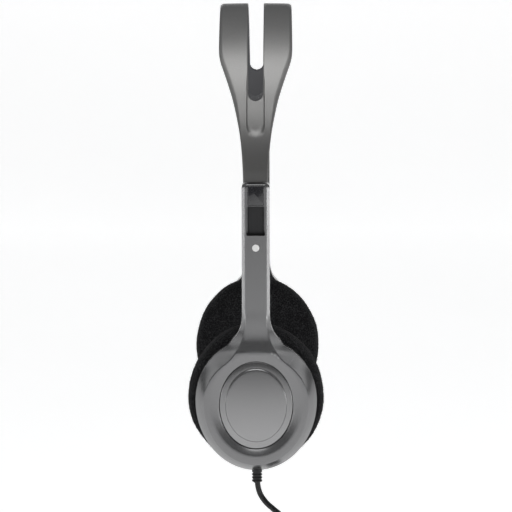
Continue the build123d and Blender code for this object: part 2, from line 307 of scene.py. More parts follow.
def grain_group() -> bpy.types.NodeTree:
    """Fine moulded or painted grain: a height for bump and a slow patchy mask.

    Returns:
        The group, with inputs Scale and Patch Scale and outputs Height and Patch.
    """
    floats = {"Scale": ("NodeSocketFloat", 900.0), "Patch Scale": ("NodeSocketFloat", 40.0)}
    outputs = {"Height": "NodeSocketFloat", "Patch": "NodeSocketFloat"}
    tree, entry, leave = new_group("surface_grain", floats, outputs)
    place = tree.add("ShaderNodeTexCoord")
    fine = tree.add("ShaderNodeTexNoise", Detail=3.0, Roughness=0.6)
    slow = tree.add("ShaderNodeTexNoise", Detail=4.0, Roughness=0.55)
    tree.join(place.outputs["Object"], fine.inputs["Vector"])
    tree.join(place.outputs["Object"], slow.inputs["Vector"])
    tree.join(entry.outputs["Scale"], fine.inputs["Scale"])
    tree.join(entry.outputs["Patch Scale"], slow.inputs["Scale"])
    tree.join(fine.outputs["Fac"], leave.inputs["Height"])
    tree.join(tree.ramp(slow.outputs["Fac"], 0.35, 0.65), leave.inputs["Patch"])
    return tree.tree


def edge_wear_group() -> bpy.types.NodeTree:
    """Mask of convex edges, broken up by noise, where handling polishes a finish.

    Returns:
        The group, with input Breakup and output Wear.
    """
    breakup = {"Breakup": ("NodeSocketFloat", 300.0)}
    tree, entry, leave = new_group("edge_wear", breakup, {"Wear": "NodeSocketFloat"})
    shape = tree.add("ShaderNodeNewGeometry")
    place = tree.add("ShaderNodeTexCoord")
    patch = tree.add("ShaderNodeTexNoise", Detail=4.0)
    tree.join(place.outputs["Object"], patch.inputs["Vector"])
    tree.join(entry.outputs["Breakup"], patch.inputs["Scale"])
    edge = tree.ramp(shape.outputs["Pointiness"], 0.52, 0.60)
    broken = tree.ramp(patch.outputs["Fac"], 0.35, 0.7)
    tree.join(tree.maths("MULTIPLY", edge, broken), leave.inputs["Wear"])
    return tree.tree


def dust_group() -> bpy.types.NodeTree:
    """Specks of dust, thicker on surfaces that face up.

    Returns:
        The group, with inputs Scale and Amount and output Dust.
    """
    floats = {"Scale": ("NodeSocketFloat", 1400.0), "Amount": ("NodeSocketFloat", 0.3)}
    tree, entry, leave = new_group("settled_dust", floats, {"Dust": "NodeSocketFloat"})
    place = tree.add("ShaderNodeTexCoord")
    specks = tree.add("ShaderNodeTexNoise", Detail=2.0)
    tree.join(place.outputs["Object"], specks.inputs["Vector"])
    tree.join(entry.outputs["Scale"], specks.inputs["Scale"])
    shape = tree.add("ShaderNodeNewGeometry")
    split = tree.add("ShaderNodeSeparateXYZ")
    tree.join(shape.outputs["Normal"], split.inputs[0])
    facing = tree.ramp(split.outputs["Z"], -0.2, 0.9)
    spotted = tree.maths("MULTIPLY", tree.ramp(specks.outputs["Fac"], 0.56, 0.72), facing)
    tree.join(tree.maths("MULTIPLY", spotted, entry.outputs["Amount"]), leave.inputs["Dust"])
    return tree.tree


GRAIN = grain_group()
EDGE_WEAR = edge_wear_group()
DUST = dust_group()


# ---------------------------------------------------------------- finishes


def start_material(name: str) -> tuple[bpy.types.Material, Tree, bpy.types.Node]:
    """Make a node material and return it with its tree helper and its Principled shader."""
    material = bpy.data.materials.new(name)
    material.use_nodes = True
    tree = Tree(material.node_tree)
    return material, tree, material.node_tree.nodes["Principled BSDF"]


def place_group(tree: Tree, group: bpy.types.NodeTree, **values: float) -> bpy.types.Node:
    """Place a shared group in a material with its own values."""
    node = tree.tree.nodes.new("ShaderNodeGroup")
    node.node_tree = group
    for key, value in values.items():
        node.inputs[key.replace("_", " ")].default_value = value
    return node


def blend_colour(tree: Tree, mask: bpy.types.NodeSocket, first: object,
                 second: object) -> bpy.types.NodeSocket:
    """Mix two colours, given as sockets or values, by a mask."""
    node = tree.add("ShaderNodeMix", data_type="RGBA")
    tree.join(mask, node.inputs[0])
    for socket, value in ((node.inputs[6], first), (node.inputs[7], second)):
        if isinstance(value, bpy.types.NodeSocket):
            tree.join(value, socket)
        else:
            socket.default_value = (*value, 1.0)
    return node.outputs[2]


def add_bump(tree: Tree, shader: bpy.types.Node, height: bpy.types.NodeSocket, strength: float,
             distance: float) -> None:
    """Feed a height to the shader's normal through a Bump node, with the distance in metres."""
    bump = tree.add("ShaderNodeBump", Strength=strength, Distance=distance)
    tree.join(height, bump.inputs["Height"])
    tree.join(bump.outputs["Normal"], shader.inputs["Normal"])


@dataclass(frozen=True)
class SatinPaint:
    """Metallic paint on moulded plastic: fine flake grain, faint patches, polished edges and a painted shade
    that darkens the colour above or below a height.
    """

    name: str
    colour: Colour
    worn: Colour
    metallic: float = 0.55
    roughness: float = 0.34
    coat: float = 0.25
    # Painted shade: the height in metres where the colour is darkest, the height where it is full, and the
    # share of the colour kept at the darkest.
    fade: tuple[float, float, float] = (-1.0, -0.9, 1.0)
    flake_scale: float = 2600.0

    def build(self) -> bpy.types.Material:
        """Make the material."""
        material, tree, shader = start_material(self.name)
        grain = place_group(tree, GRAIN, Scale=self.flake_scale, Patch_Scale=45.0)
        wear = place_group(tree, EDGE_WEAR, Breakup=500.0)
        dust = place_group(tree, DUST, Scale=1800.0, Amount=0.05)
        deeper = tuple(c * 0.96 for c in self.colour)
        base = blend_colour(tree, grain.outputs["Patch"], deeper, self.colour)
        flakes = tree.ramp(grain.outputs["Height"], 0.3, 0.75)
        brighter = tuple(min(c * 1.12, 1.0) for c in self.colour)
        base = blend_colour(tree, tree.maths("MULTIPLY", flakes, 0.35), base, brighter)
        base = blend_colour(tree, wear.outputs["Wear"], base, self.worn)
        # Painted shade: beyond the first height the colour is darkened to the given share of itself, easing
        # back to the full colour at the second height, read on the object's Z in metres.
        place, split = tree.add("ShaderNodeTexCoord"), tree.add("ShaderNodeSeparateXYZ")
        tree.join(place.outputs["Object"], split.inputs["Vector"])
        shaded_z, unshaded_z, share = self.fade
        painted_shade_mask = tree.ramp(split.outputs["Z"], shaded_z, unshaded_z)
        base = blend_colour(tree, painted_shade_mask, tuple(c * share for c in self.colour), base)
        base = blend_colour(tree, dust.outputs["Dust"], base, (0.62, 0.61, 0.6))
        tree.join(base, shader.inputs["Base Color"])
        rough = tree.maths("ADD", tree.maths("MULTIPLY", grain.outputs["Patch"], 0.03), self.roughness)
        tree.join(tree.maths("ADD", rough, tree.maths("MULTIPLY", dust.outputs["Dust"], 0.3)),
                  shader.inputs["Roughness"])
        shader.inputs["Metallic"].default_value = self.metallic
        shader.inputs["Coat Weight"].default_value = self.coat
        shader.inputs["Coat Roughness"].default_value = 0.22
        add_bump(tree, shader, grain.outputs["Height"], 0.025, 0.00002)
        return material


@dataclass(frozen=True)
class MouldedPlastic:
    """Plastic with the mould's fine texture, matt or glossy."""

    name: str
    colour: Colour
    roughness: float = 0.5
    grain_scale: float = 3200.0
    grain_depth: float = 0.00005
    coat: float = 0.0
    shine: float = 0.5

    def build(self) -> bpy.types.Material:
        """Make the material."""
        material, tree, shader = start_material(self.name)
        grain = place_group(tree, GRAIN, Scale=self.grain_scale, Patch_Scale=60.0)
        wear = place_group(tree, EDGE_WEAR, Breakup=600.0)
        dust = place_group(tree, DUST, Scale=1500.0, Amount=0.22)
        lighter = tuple(min(c * 1.25 + 0.01, 1.0) for c in self.colour)
        base = blend_colour(tree, grain.outputs["Patch"], self.colour, tuple(c * 0.85 for c in self.colour))
        base = blend_colour(tree, wear.outputs["Wear"], base, lighter)
        base = blend_colour(tree, dust.outputs["Dust"], base, (0.5, 0.49, 0.48))
        tree.join(base, shader.inputs["Base Color"])
        swing = tree.maths("MULTIPLY", grain.outputs["Patch"], 0.08)
        tree.join(tree.maths("ADD", swing, self.roughness), shader.inputs["Roughness"])
        shader.inputs["Specular IOR Level"].default_value = self.shine
        shader.inputs["Coat Weight"].default_value = self.coat
        shader.inputs["Coat Roughness"].default_value = 0.08
        add_bump(tree, shader, grain.outputs["Height"], 0.35, self.grain_depth)
        return material


@dataclass(frozen=True)
class OpenFoam:
    """Open-cell foam: dark pores between paler cell walls, with a dusty sheen at grazing angles."""

    name: str
    wall: Colour
    pore: Colour
    cell_scale: float = 1500.0

    def build(self) -> bpy.types.Material:
        """Make the material."""
        material, tree, shader = start_material(self.name)
        place = tree.add("ShaderNodeTexCoord")
        cells = tree.add("ShaderNodeTexVoronoi", Scale=self.cell_scale)
        tree.join(place.outputs["Object"], cells.inputs["Vector"])
        grain = place_group(tree, GRAIN, Scale=self.cell_scale * 1.7, Patch_Scale=140.0)
        walls = tree.ramp(cells.outputs["Distance"], 0.25, 0.75)
        mottled = tree.maths("MULTIPLY", walls, tree.ramp(grain.outputs["Height"], 0.35, 0.65))
        base = blend_colour(tree, mottled, self.pore, self.wall)
        base = blend_colour(tree, tree.maths("MULTIPLY", grain.outputs["Patch"], 0.35), base, self.pore)
        tree.join(base, shader.inputs["Base Color"])
        shader.inputs["Roughness"].default_value = 0.95
        shader.inputs["Specular IOR Level"].default_value = 0.12
        shader.inputs["Sheen Weight"].default_value = 0.07
        shader.inputs["Sheen Roughness"].default_value = 0.35
        shader.inputs["Sheen Tint"].default_value = (0.55, 0.55, 0.56, 1.0)
        height = tree.maths("ADD", mottled, tree.maths("MULTIPLY", grain.outputs["Height"], 0.5))
        add_bump(tree, shader, height, 0.8, 0.00025)
        return material


@dataclass(frozen=True)
class FineMetal:
    """Bare or plated metal with fine drawn lines along one axis."""

    name: str
    colour: Colour
    roughness: float = 0.28
    lines: Point = (60.0, 4000.0, 4000.0)

    def build(self) -> bpy.types.Material:
        """Make the material."""
        material, tree, shader = start_material(self.name)
        place = tree.add("ShaderNodeTexCoord")
        stretch = tree.add("ShaderNodeMapping")
        stretch.inputs["Scale"].default_value = self.lines
        drawn = tree.add("ShaderNodeTexNoise", Scale=1.0, Detail=3.0)
        tree.join(place.outputs["Object"], stretch.inputs["Vector"])
        tree.join(stretch.outputs["Vector"], drawn.inputs["Vector"])
        streaks = tree.ramp(drawn.outputs["Fac"], 0.3, 0.7)
        base = blend_colour(tree, streaks, tuple(c * 0.8 for c in self.colour), self.colour)
        tree.join(base, shader.inputs["Base Color"])
        tree.join(tree.maths("ADD", tree.maths("MULTIPLY", streaks, 0.12), self.roughness),
                  shader.inputs["Roughness"])
        shader.inputs["Metallic"].default_value = 1.0
        add_bump(tree, shader, drawn.outputs["Fac"], 0.15, 0.00002)
        return material


@dataclass(frozen=True)
class WovenTape:
    """Narrow woven tape: a fine plain weave in one dark yarn."""

    name: str
    colour: Colour
    threads: float = 900.0

    def build(self) -> bpy.types.Material:
        """Make the material."""
        material, tree, shader = start_material(self.name)
        place = tree.add("ShaderNodeTexCoord")
        weave = []
        for direction in ("X", "Z"):
            wave = tree.add("ShaderNodeTexWave", bands_direction=direction, Scale=self.threads / 6.0,
                            Distortion=0.6)
            tree.join(place.outputs["Object"], wave.inputs["Vector"])
            weave.append(wave.outputs["Fac"])
        height = tree.maths("MAXIMUM", *weave)
        base = blend_colour(tree, height, tuple(c * 0.5 for c in self.colour), self.colour)
        tree.join(base, shader.inputs["Base Color"])
        shader.inputs["Roughness"].default_value = 0.85
        shader.inputs["Sheen Weight"].default_value = 0.2
        add_bump(tree, shader, height, 0.5, 0.0001)
        return material


@dataclass(frozen=True)
class FilmFinish:
    """Thin formed polymer film of the driver's diaphragm, with radial corrugations."""

    name: str
    colour: Colour

    def build(self) -> bpy.types.Material:
        """Make the material."""
        material, tree, shader = start_material(self.name)
        place = tree.add("ShaderNodeTexCoord")
        wave = tree.add("ShaderNodeTexWave", wave_type="RINGS", rings_direction="Y", Scale=160.0,
                        Distortion=0.0)
        tree.join(place.outputs["Object"], wave.inputs["Vector"])
        base = blend_colour(tree, wave.outputs["Fac"], self.colour, tuple(c * 1.2 for c in self.colour))
        tree.join(base, shader.inputs["Base Color"])
        shader.inputs["Roughness"].default_value = 0.2
        shader.inputs["Coat Weight"].default_value = 0.6
        add_bump(tree, shader, wave.outputs["Fac"], 0.4, 0.0001)
        return material


class FinishBook:
    """Every finish of the headset, each built once and looked up by its record slot."""

    RECIPES = (
        # band_silver: painted shade darkens the stems below 100 mm to 0.48 of the colour, full from 124 mm
        # up.
        SatinPaint("band_silver", (0.235, 0.233, 0.229), (0.45, 0.45, 0.44), 0.85, 0.42, 0.25,
                   (0.1, 0.124, 0.48)),
        MouldedPlastic("liner_dark", (0.055, 0.055, 0.06), 0.55),
        MouldedPlastic("cord_jacket", (0.006, 0.006, 0.0065), 0.22, 2500.0, 0.00002, 0.0, 0.3),
        # shell_plastic: painted shade darkens the arm above 85 mm to 0.8 of the colour, full from 30 mm down.
        SatinPaint("shell_plastic", (0.195, 0.195, 0.198), (0.4, 0.4, 0.4), 0.8, 0.24, 0.25,
                   (0.085, 0.03, 0.8)),
        # cap_plastic: painted shade darkens the cap's upper part to 0.68 of the colour above 12 mm, full
        # below -12 mm.
        SatinPaint("cap_plastic", (0.29, 0.29, 0.293), (0.42, 0.42, 0.42), 0.8, 0.2, 0.25,
                   (0.012, -0.012, 0.68)),
        MouldedPlastic("dark_plastic", (0.03, 0.03, 0.033), 0.45),
        MouldedPlastic("gloss_black", (0.02, 0.02, 0.023), 0.12, 1200.0, 0.000004, 0.8),
        MouldedPlastic("white_plastic", (0.82, 0.82, 0.81), 0.4),
        FineMetal("spring_steel", (0.62, 0.61, 0.6), 0.22),
        FineMetal("screw_steel", (0.3, 0.3, 0.31), 0.35),
        OpenFoam("foam", (0.042, 0.042, 0.044), (0.0025, 0.0025, 0.003)),
        FilmFinish("film", (0.42, 0.41, 0.36)),
        FineMetal("copper_wire", (0.75, 0.4, 0.22), 0.3, (4000.0, 300.0, 4000.0)),
        FineMetal("magnet_plating", (0.75, 0.75, 0.77), 0.15),
        FineMetal("yoke_steel", (0.5, 0.5, 0.52), 0.3),
        FineMetal("tongue_steel", (0.055, 0.055, 0.057), 0.38, (4000.0, 4000.0, 60.0)),
        MouldedPlastic("relief_rubber", (0.012, 0.012, 0.013), 0.45, 2200.0, 0.00006, 0.0, 0.35),
        WovenTape("tie_strap", (0.03, 0.03, 0.032)),
        FineMetal("contact_gold", (0.86, 0.62, 0.25), 0.12, (4000.0, 4000.0, 300.0)),
        FineMetal("capsule_metal", (0.6, 0.6, 0.61), 0.3),
    )

    def __init__(self) -> None:
        """Build every finish."""
        self.made = {recipe.name: recipe.build() for recipe in self.RECIPES}

    def dress(self, piece: bpy.types.Object, slot: str) -> bpy.types.Object:
        """Give a whole piece the one finish that its record slot names."""
        piece.data.materials.clear()
        piece.data.materials.append(self.made[slot])
        return piece

    def install(self, piece: bpy.types.Object, node: str, slot: str, body: str) -> bpy.types.Object:
        """Dress a piece, let it stand for its CAD node and put it on its body."""
        self.dress(piece, slot)
        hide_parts(node)
        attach(piece, body)
        return piece

    def dress_frame(self) -> None:
        """Give every CAD node the finish that the record names for it."""
        slots = {entry["node"]: entry["material_slot"] for entry in frame["record"]["subparts"]}
        for node, piece in frame["nodes"].items():
            for holder in piece.material_slots:
                holder.material = self.made[slots[node]]


# ---------------------------------------------------------------- studio


@dataclass
class Studio:
    """Pale floor that sweeps up behind, soft lights and the camera. Lengths are in metres."""

    aim: Point = (-0.0003, 0.0, 0.0516)
    distance: float = 1.0474
    elevation: float = 10.04
    azimuth: float = 0.33
    roll: float = -0.15
    lens: float = 166.4
    floor_gap: float = 0.027
    floor_half: float = 7.0
    floor_front: float = -9.0
    sweep_start: float = 1.3
    sweep_radius: float = 0.5
    wall_top: float = 0.5

    def make_camera(self) -> None:
        """Aim the camera at the headset from its right side, slightly above."""
        camera = bpy.data.objects.new("camera", bpy.data.cameras.new("camera"))
        bpy.context.collection.objects.link(camera)
        camera.data.lens = self.lens
        camera.data.sensor_width = 36.0
        camera.data.clip_end = 20.0
        up, turn = math.radians(self.elevation), math.radians(self.azimuth)
        way = Vector((math.sin(turn) * math.cos(up), -math.cos(turn) * math.cos(up), math.sin(up)))
        camera.location = Vector(self.aim) + way * self.distance
        aim = (-way).to_track_quat("-Z", "Y")
        camera.rotation_euler = aim.to_euler()
        camera.rotation_euler.rotate_axis("Z", math.radians(self.roll))
        bpy.context.scene.camera = camera

    def make_floor(self) -> None:
        """Build the floor and its sweep as one sheet, clear of the cord when the right arm slides down."""
        low = CAD_BOX[0][2] - self.floor_gap
        line = [(self.floor_front, low), (self.sweep_start, low)]
        for step in range(1, 13):
            angle = math.radians(90 * step / 12)
            line.append((self.sweep_start + self.sweep_radius * math.sin(angle),
                         low + self.sweep_radius * (1 - math.cos(angle))))
        line.append((self.sweep_start + self.sweep_radius, self.wall_top))
        verts = [(side * self.floor_half, y, z) for y, z in line for side in (-1, 1)]
        faces = [(2 * i, 2 * i + 1, 2 * i + 3, 2 * i + 2) for i in range(len(line) - 1)]
        mesh = bpy.data.meshes.new("studio_floor")
        mesh.from_pydata(verts, [], faces)
        mesh.shade_smooth()
        floor = bpy.data.objects.new("studio_floor", mesh)
        bpy.context.collection.objects.link(floor)
        material, tree, shader = start_material("studio_paper")
        grain = place_group(tree, GRAIN, Scale=60.0, Patch_Scale=2.0)
        tree.join(blend_colour(tree, grain.outputs["Patch"], (0.84, 0.84, 0.84), (0.87, 0.87, 0.87)),
                  shader.inputs["Base Color"])
        shader.inputs["Roughness"].default_value = 0.9
        shader.inputs["Emission Color"].default_value = (1.0, 1.0, 1.0, 1.0)
        shader.inputs["Emission Strength"].default_value = 0.55
        mesh.materials.append(material)

    def add_softbox(self, name: str, place: Point, size: tuple[float, float], power: float,
                    toward: Point) -> None:
        """Add a rectangular area light.

        Args:
            name: The light's name.
            place: Its position, in metres.
            size: Its width and height, in metres.
            power: Its power, in watts.
            toward: The point it faces, in metres.
        """
        light = bpy.data.lights.new(name, "AREA")
        light.shape = "RECTANGLE"
        light.size, light.size_y = size
        light.energy = power
        lamp = bpy.data.objects.new(name, light)
        lamp.visible_camera = False
        bpy.context.collection.objects.link(lamp)
        lamp.location = place
        lamp.rotation_euler = (Vector(toward) - Vector(place)).to_track_quat("-Z", "Y").to_euler()

    def light_up(self) -> None:
        """Place the softboxes and the dim room round them."""
        centre = (0.0, 0.0, 0.03)
        self.add_softbox("top_softbox", (0.0, -0.45, 1.5), (1.2, 0.9), 8.0, centre)
        self.add_softbox("left_softbox", (-1.4, -0.2, 0.6), (0.5, 1.0), 1.3, centre)
        self.add_softbox("right_softbox", (1.4, -0.2, 0.6), (0.5, 1.0), 1.6, centre)
        self.add_softbox("left_strip", (-0.9, -0.75, -0.02), (0.1, 0.3), 0.8, centre)
        self.add_softbox("right_strip", (0.9, -0.75, -0.02), (0.14, 0.3), 1.2, centre)
        self.add_softbox("front_softbox", (0.0, -0.62, 0.55), (0.5, 0.3), 0.8, (0.0, -0.5, -0.12))
        world = bpy.data.worlds.new("room")
        bpy.context.scene.world = world
        world.use_nodes = True
        tree = Tree(world.node_tree)
        backdrop = world.node_tree.nodes["Background"]
        place = tree.add("ShaderNodeTexCoord")
        split = tree.add("ShaderNodeSeparateXYZ")
        tree.join(place.outputs["Generated"], split.inputs["Vector"])
        overhead = tree.ramp(split.outputs["Z"], 0.1, 0.95)
        room = blend_colour(tree, overhead, (0.045, 0.045, 0.047), (0.34, 0.345, 0.35))
        tree.join(room, backdrop.inputs["Color"])
        backdrop.inputs["Strength"].default_value = 1.0
        settings = bpy.context.scene.view_settings
        settings.view_transform = "Standard"
        settings.look = "None"

    def build(self) -> None:
        """Make the whole set."""
        self.make_camera()
        self.make_floor()
        self.light_up()


# ---------------------------------------------------------------- cord


@dataclass
class Cord:
    """Thin lead from the right shell to a tied, hanging coil and its plug. Lengths are in millimetres."""

    diameter: float = 2.4
    length_m: float = 1.8
    relief_end: Point = (0.3, -65.0, -31.5)
    route: tuple[Point, ...] = (
        (0.3, -65.0, -31.5),
        (0.4, -65.0, -36.5),
        (3.2, -65.1, -42.0),
        (8.2, -65.4, -46.3),
        (14.4, -65.5, -51.4),
        (19.2, -65.3, -58.0),
        (21.4, -65.1, -65.6),
        (21.5, -64.8, -73.2),
    )
    coil_centre: Point = (21.5, -46.5, -86.0)
    coil_mean: float = 18.5
    rows: tuple[int, ...] = (4, 4, 4, 3)
    turn_gap: float = 2.5
    row_gap: float = 2.2
    points_per_turn: int = 16
    to_plug: tuple[Point, ...] = (
        (26.0, -59.8, -70.8),
        (30.0, -63.8, -75.6),
        (31.2, -65.0, -81.5),
        (31.2, -65.0, -88.0),
    )

    def turn_offsets(self) -> list[tuple[float, float]]:
        """Place of each turn in the coil's round section, as (across, outward) pairs, outermost row first."""
        offsets = []
        for index, count in enumerate(self.rows):
            outward = ((len(self.rows) - 1) / 2 - index) * self.row_gap
            across = [(i - (count - 1) / 2) * self.turn_gap for i in range(count)]
            offsets += [(a, outward) for a in (across if index % 2 == 0 else reversed(across))]
        return offsets

    def coil_points(self) -> list[Point]:
        """The coil's turns as one continuous run of points, each turn easing over to the next."""
        offsets = self.turn_offsets()
        cx, cy, cz = self.coil_centre
        points = []
        for turn, (across, outward) in enumerate(offsets):
            last = turn == len(offsets) - 1
            following = offsets[turn] if last else offsets[turn + 1]
            steps = self.points_per_turn - 4 if last else self.points_per_turn
            for step in range(steps):
                share = step / self.points_per_turn
                ease = smoothstep(0.7, 1.0, share)
                radius = self.coil_mean + mix(outward, following[1], ease)
                angle = math.tau * share
                x = cx + mix(across, following[0], ease)
                points.append((x, cy - radius * math.cos(angle), cz - radius * math.sin(angle)))
        return points

    def build(self, finishes: FinishBook, grip: bpy.types.Object) -> None:
        points = [*self.route, *self.coil_points(), *self.to_plug]
        curve = bpy.data.curves.new("cord", "CURVE")
        curve.dimensions = "3D"
        curve.bevel_depth = self.diameter / 2 * MM
        curve.bevel_resolution = 3
        curve.resolution_u = 6
        curve.use_fill_caps = True
        spline = curve.splines.new("NURBS")
        spline.points.add(len(points) - 1)
        for target, (x, y, z) in zip(spline.points, points):
            target.co = (x * MM, y * MM, z * MM, 1.0)
        spline.order_u = 3
        spline.use_endpoint_u = True
        cord = bpy.data.objects.new("cord", curve)
        bpy.context.collection.objects.link(cord)
        finishes.dress(cord, "cord_jacket")
        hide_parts("cord_lead", "cord_coil")
        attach(cord, Side.RIGHT.body)
        LOG.info("cord with %d turns", len(self.turn_offsets()))


# ---------------------------------------------------------------- headband


def through(points: Sequence[tuple[float, float]], value: float) -> float:
    """Smooth curve through a few (place, value) points, level at both ends.

    Args:
        points: Places in rising order, with their values.
        value: The place to read.

    Returns:
        The curve's value there, held level outside the points.
    """
    if value <= points[0][0]:
        return points[0][1]
    if value >= points[-1][0]:
        return points[-1][1]
    slopes = [0.0]
    for before, here, after in zip(points, points[1:], points[2:]):
        left = (here[1] - before[1]) / (here[0] - before[0])
        right = (after[1] - here[1]) / (after[0] - here[0])
        slopes.append(0.0 if left * right <= 0 else 2 * left * right / (left + right))
    slopes.append(0.0)
    for i in range(len(points) - 1):
        (x0, y0), (x1, y1) = points[i], points[i + 1]
        if x0 <= value <= x1:
            span = x1 - x0
            t = (value - x0) / span
            return ((2 * t**3 - 3 * t**2 + 1) * y0 + (t**3 - 2 * t**2 + t) * span * slopes[i]
                    + (3 * t**2 - 2 * t**3) * y1 + (t**3 - t**2) * span * slopes[i + 1])
    return points[-1][1]


def through_line(line: Sequence[tuple[float, float]], z: float) -> float:
    """Read x at a height on a line of (x, z) points that rises all the way."""
    for (x0, z0), (x1, z1) in zip(line, line[1:]):
        if z0 <= z <= z1 and z1 > z0:
            return mix(x0, x1, (z - z0) / (z1 - z0))
    return line[-1][0]


@dataclass
class Headband:
    """Slotted arch from one stem over the head to the other, and its dark liner. Millimetres."""

    centre_z: float = 95.5
    outer: float = 67.5
    skin: float = 65.6
    inner: float = 64.5
    stem_bottom: float = 94.2
    slot_end: float = 127.4
    liner_lap: float = 2.5
    slot_half_top: float = 3.45
    slot_half_end: float = 3.05
    channel_end: float = 112.6
    channel_half: float = 3.4
    channel_depth: float = 1.0
    scoop: float = 3.4
    edge: float = 0.35
    widths: tuple[tuple[float, float], ...] = (
        (94.2, 5.2), (101.0, 5.4), (108.5, 5.9), (114.7, 6.65), (121.1, 7.85), (127.4, 9.3),
        (133.6, 11.25), (139.8, 13.5), (142.9, 14.65), (146.0, 15.25), (149.0, 15.35), (163.0, 15.35),
    )

    def station_angles(self) -> list[float]:
        """Angles up one leg of the arch, closer together at the slot's end and the scoop."""
        marks = [(0.0, 14.0, 1.1), (14.0, 19.0, 0.35), (19.0, 27.2, 0.9), (27.2, 32.0, 0.22),
                 (32.0, 90.0, 1.1)]
        angles = []
        for low, high, step in marks:
            count = max(1, round((high - low) / step))
            angles += [low + (high - low) * i / count for i in range(count)]
        return [*angles, 90.0]

    def slot_half(self, height: float) -> float:
        """Half-width of the slot at a height, zero below its round end."""
        rise = height - self.slot_end
        if rise <= 0:
            return 0.0
        share = (height - self.slot_end) / (self.centre_z + self.outer - self.slot_end)
        side = mix(self.slot_half_end, self.slot_half_top, share)
        if rise >= self.slot_half_end:
            return side
        return side * math.sqrt(max(0.0, 1 - (1 - rise / self.slot_half_end) ** 2))

    def recess(self, height: float, x: float) -> float:
        """Depth of the shallow channel below the slot, which ends in a scoop."""
        bow = 1 - math.sqrt(max(0.0, 1 - (x / self.channel_half) ** 2))
        start = self.channel_end + 0.75 * self.channel_half * bow
        along = smoothstep(start, start + self.scoop, height)
        fade = 1 - smoothstep(self.slot_end + 1.0, self.slot_end + 11.0, height)
        bend = max(0.0, 1 - (height - self.channel_end) / self.scoop)
        half = self.channel_half * math.sqrt(max(0.0, 1 - 0.55 * bend * bend))
        across = 1 - smoothstep(half - 0.1, half + 0.45, abs(x))
        return self.channel_depth * along * fade * across

    def chamfer(self, height: float) -> float:
        """Width of the outer edge's chamfer, which opens where the band swells."""
        return 0.5 + 1.3 * smoothstep(112.0, 132.0, height) * (1 - 0.45 * smoothstep(140.0, 150.0, height))

    def columns(self, height: float, side_edge: float, slot: float) -> list[float]:
        """X places across one half of the band's outer face."""
        wall = max(self.channel_half, slot + 0.12)
        chamfer = self.chamfer(height)
        places = [mix(slot, wall - 0.2, t) for t in (0.0, 0.12, 0.35, 0.7, 1.0)]
        places += [wall + step for step in (-0.05, 0.1, 0.25, 0.4, 0.55)]
        flat_start, flat_end = wall + 0.7, side_edge - chamfer - 0.12
        places += [mix(flat_start, max(flat_start + 0.05, flat_end), t / 7) for t in range(8)]
        places += [side_edge - chamfer * t for t in (0.95, 0.6, 0.25)]
        from_edge = enumerate(reversed(places))
        return sorted(min(p, side_edge - 0.02 * (3 - i)) if i < 3 else p for i, p in from_edge)

    def section(self, height: float) -> tuple[list[tuple[float, float]], float]:
        """One half's closed cross-section as (x, radius) points, the first ones on the outer face.

        Args:
            height: Height of the station, in millimetres.

        Returns:
            The points, and the slot's half-width there.
        """
        edge_x = through(self.widths, height)
        slot = self.slot_half(height)
        chamfer = self.chamfer(height)
        points = []
        for x in self.columns(height, edge_x, slot):
            crown = 0.22 * (x / self.widths[-1][1]) ** 2
            fall = 0.55 * max(0.0, (x - (edge_x - chamfer)) / chamfer) * min(1.0, chamfer)
            lip = 0.18 * max(0.0, 1 - (x - slot) / 0.3) if slot > 0 else 0.0
            points.append((x, self.outer - self.recess(height, x) - crown - fall - lip))
        side_top = points[-1][1] - 0.12
        points += [(edge_x, side_top - 0.1), (edge_x, self.skin + 0.25), (edge_x - 0.25, self.skin)]
        under_end = slot + 0.1 if slot > 0 else 0.0
        points += [(mix(edge_x - 0.3, under_end, t), self.skin) for t in (0.33, 0.66, 1.0)]
        wall_top = points[0][1]
        points += [(slot, mix(self.skin + 0.1, wall_top, t)) for t in (0.0, 0.4, 0.8)]
        return points, slot

    def stations(self) -> list[tuple[float, float]]:
        """(height, angle) of each station from the right stem over the top to the left stem."""
        rising = [(self.centre_z + self.outer * math.sin(math.radians(a)), a) for a in self.station_angles()]
        falling = [(h, 180.0 - a) for h, a in reversed(rising[:-1])]
        return [(self.stem_bottom, 0.0), *rising, *falling, (self.stem_bottom, 180.0)]

    def liner_section(self, height: float) -> tuple[list[tuple[float, float]], float]:
        """One half's closed cross-section of the liner, and the slot's half-width there."""
        slot = self.slot_half(height - self.liner_lap)
        edge_x = through(self.widths, height) - 0.45
        lip = 0.3 if slot > 0 else 0.0
        ring = [(slot, self.skin), (edge_x, self.skin), (edge_x, self.inner + 0.35)]
        ring += [(edge_x - 0.12, self.inner + 0.1), (edge_x - 0.35, self.inner)]
        ring += [(mix(slot, edge_x, 0.5), self.inner), (slot + lip, self.inner), (slot, self.inner + 0.3)]
        return ring, slot

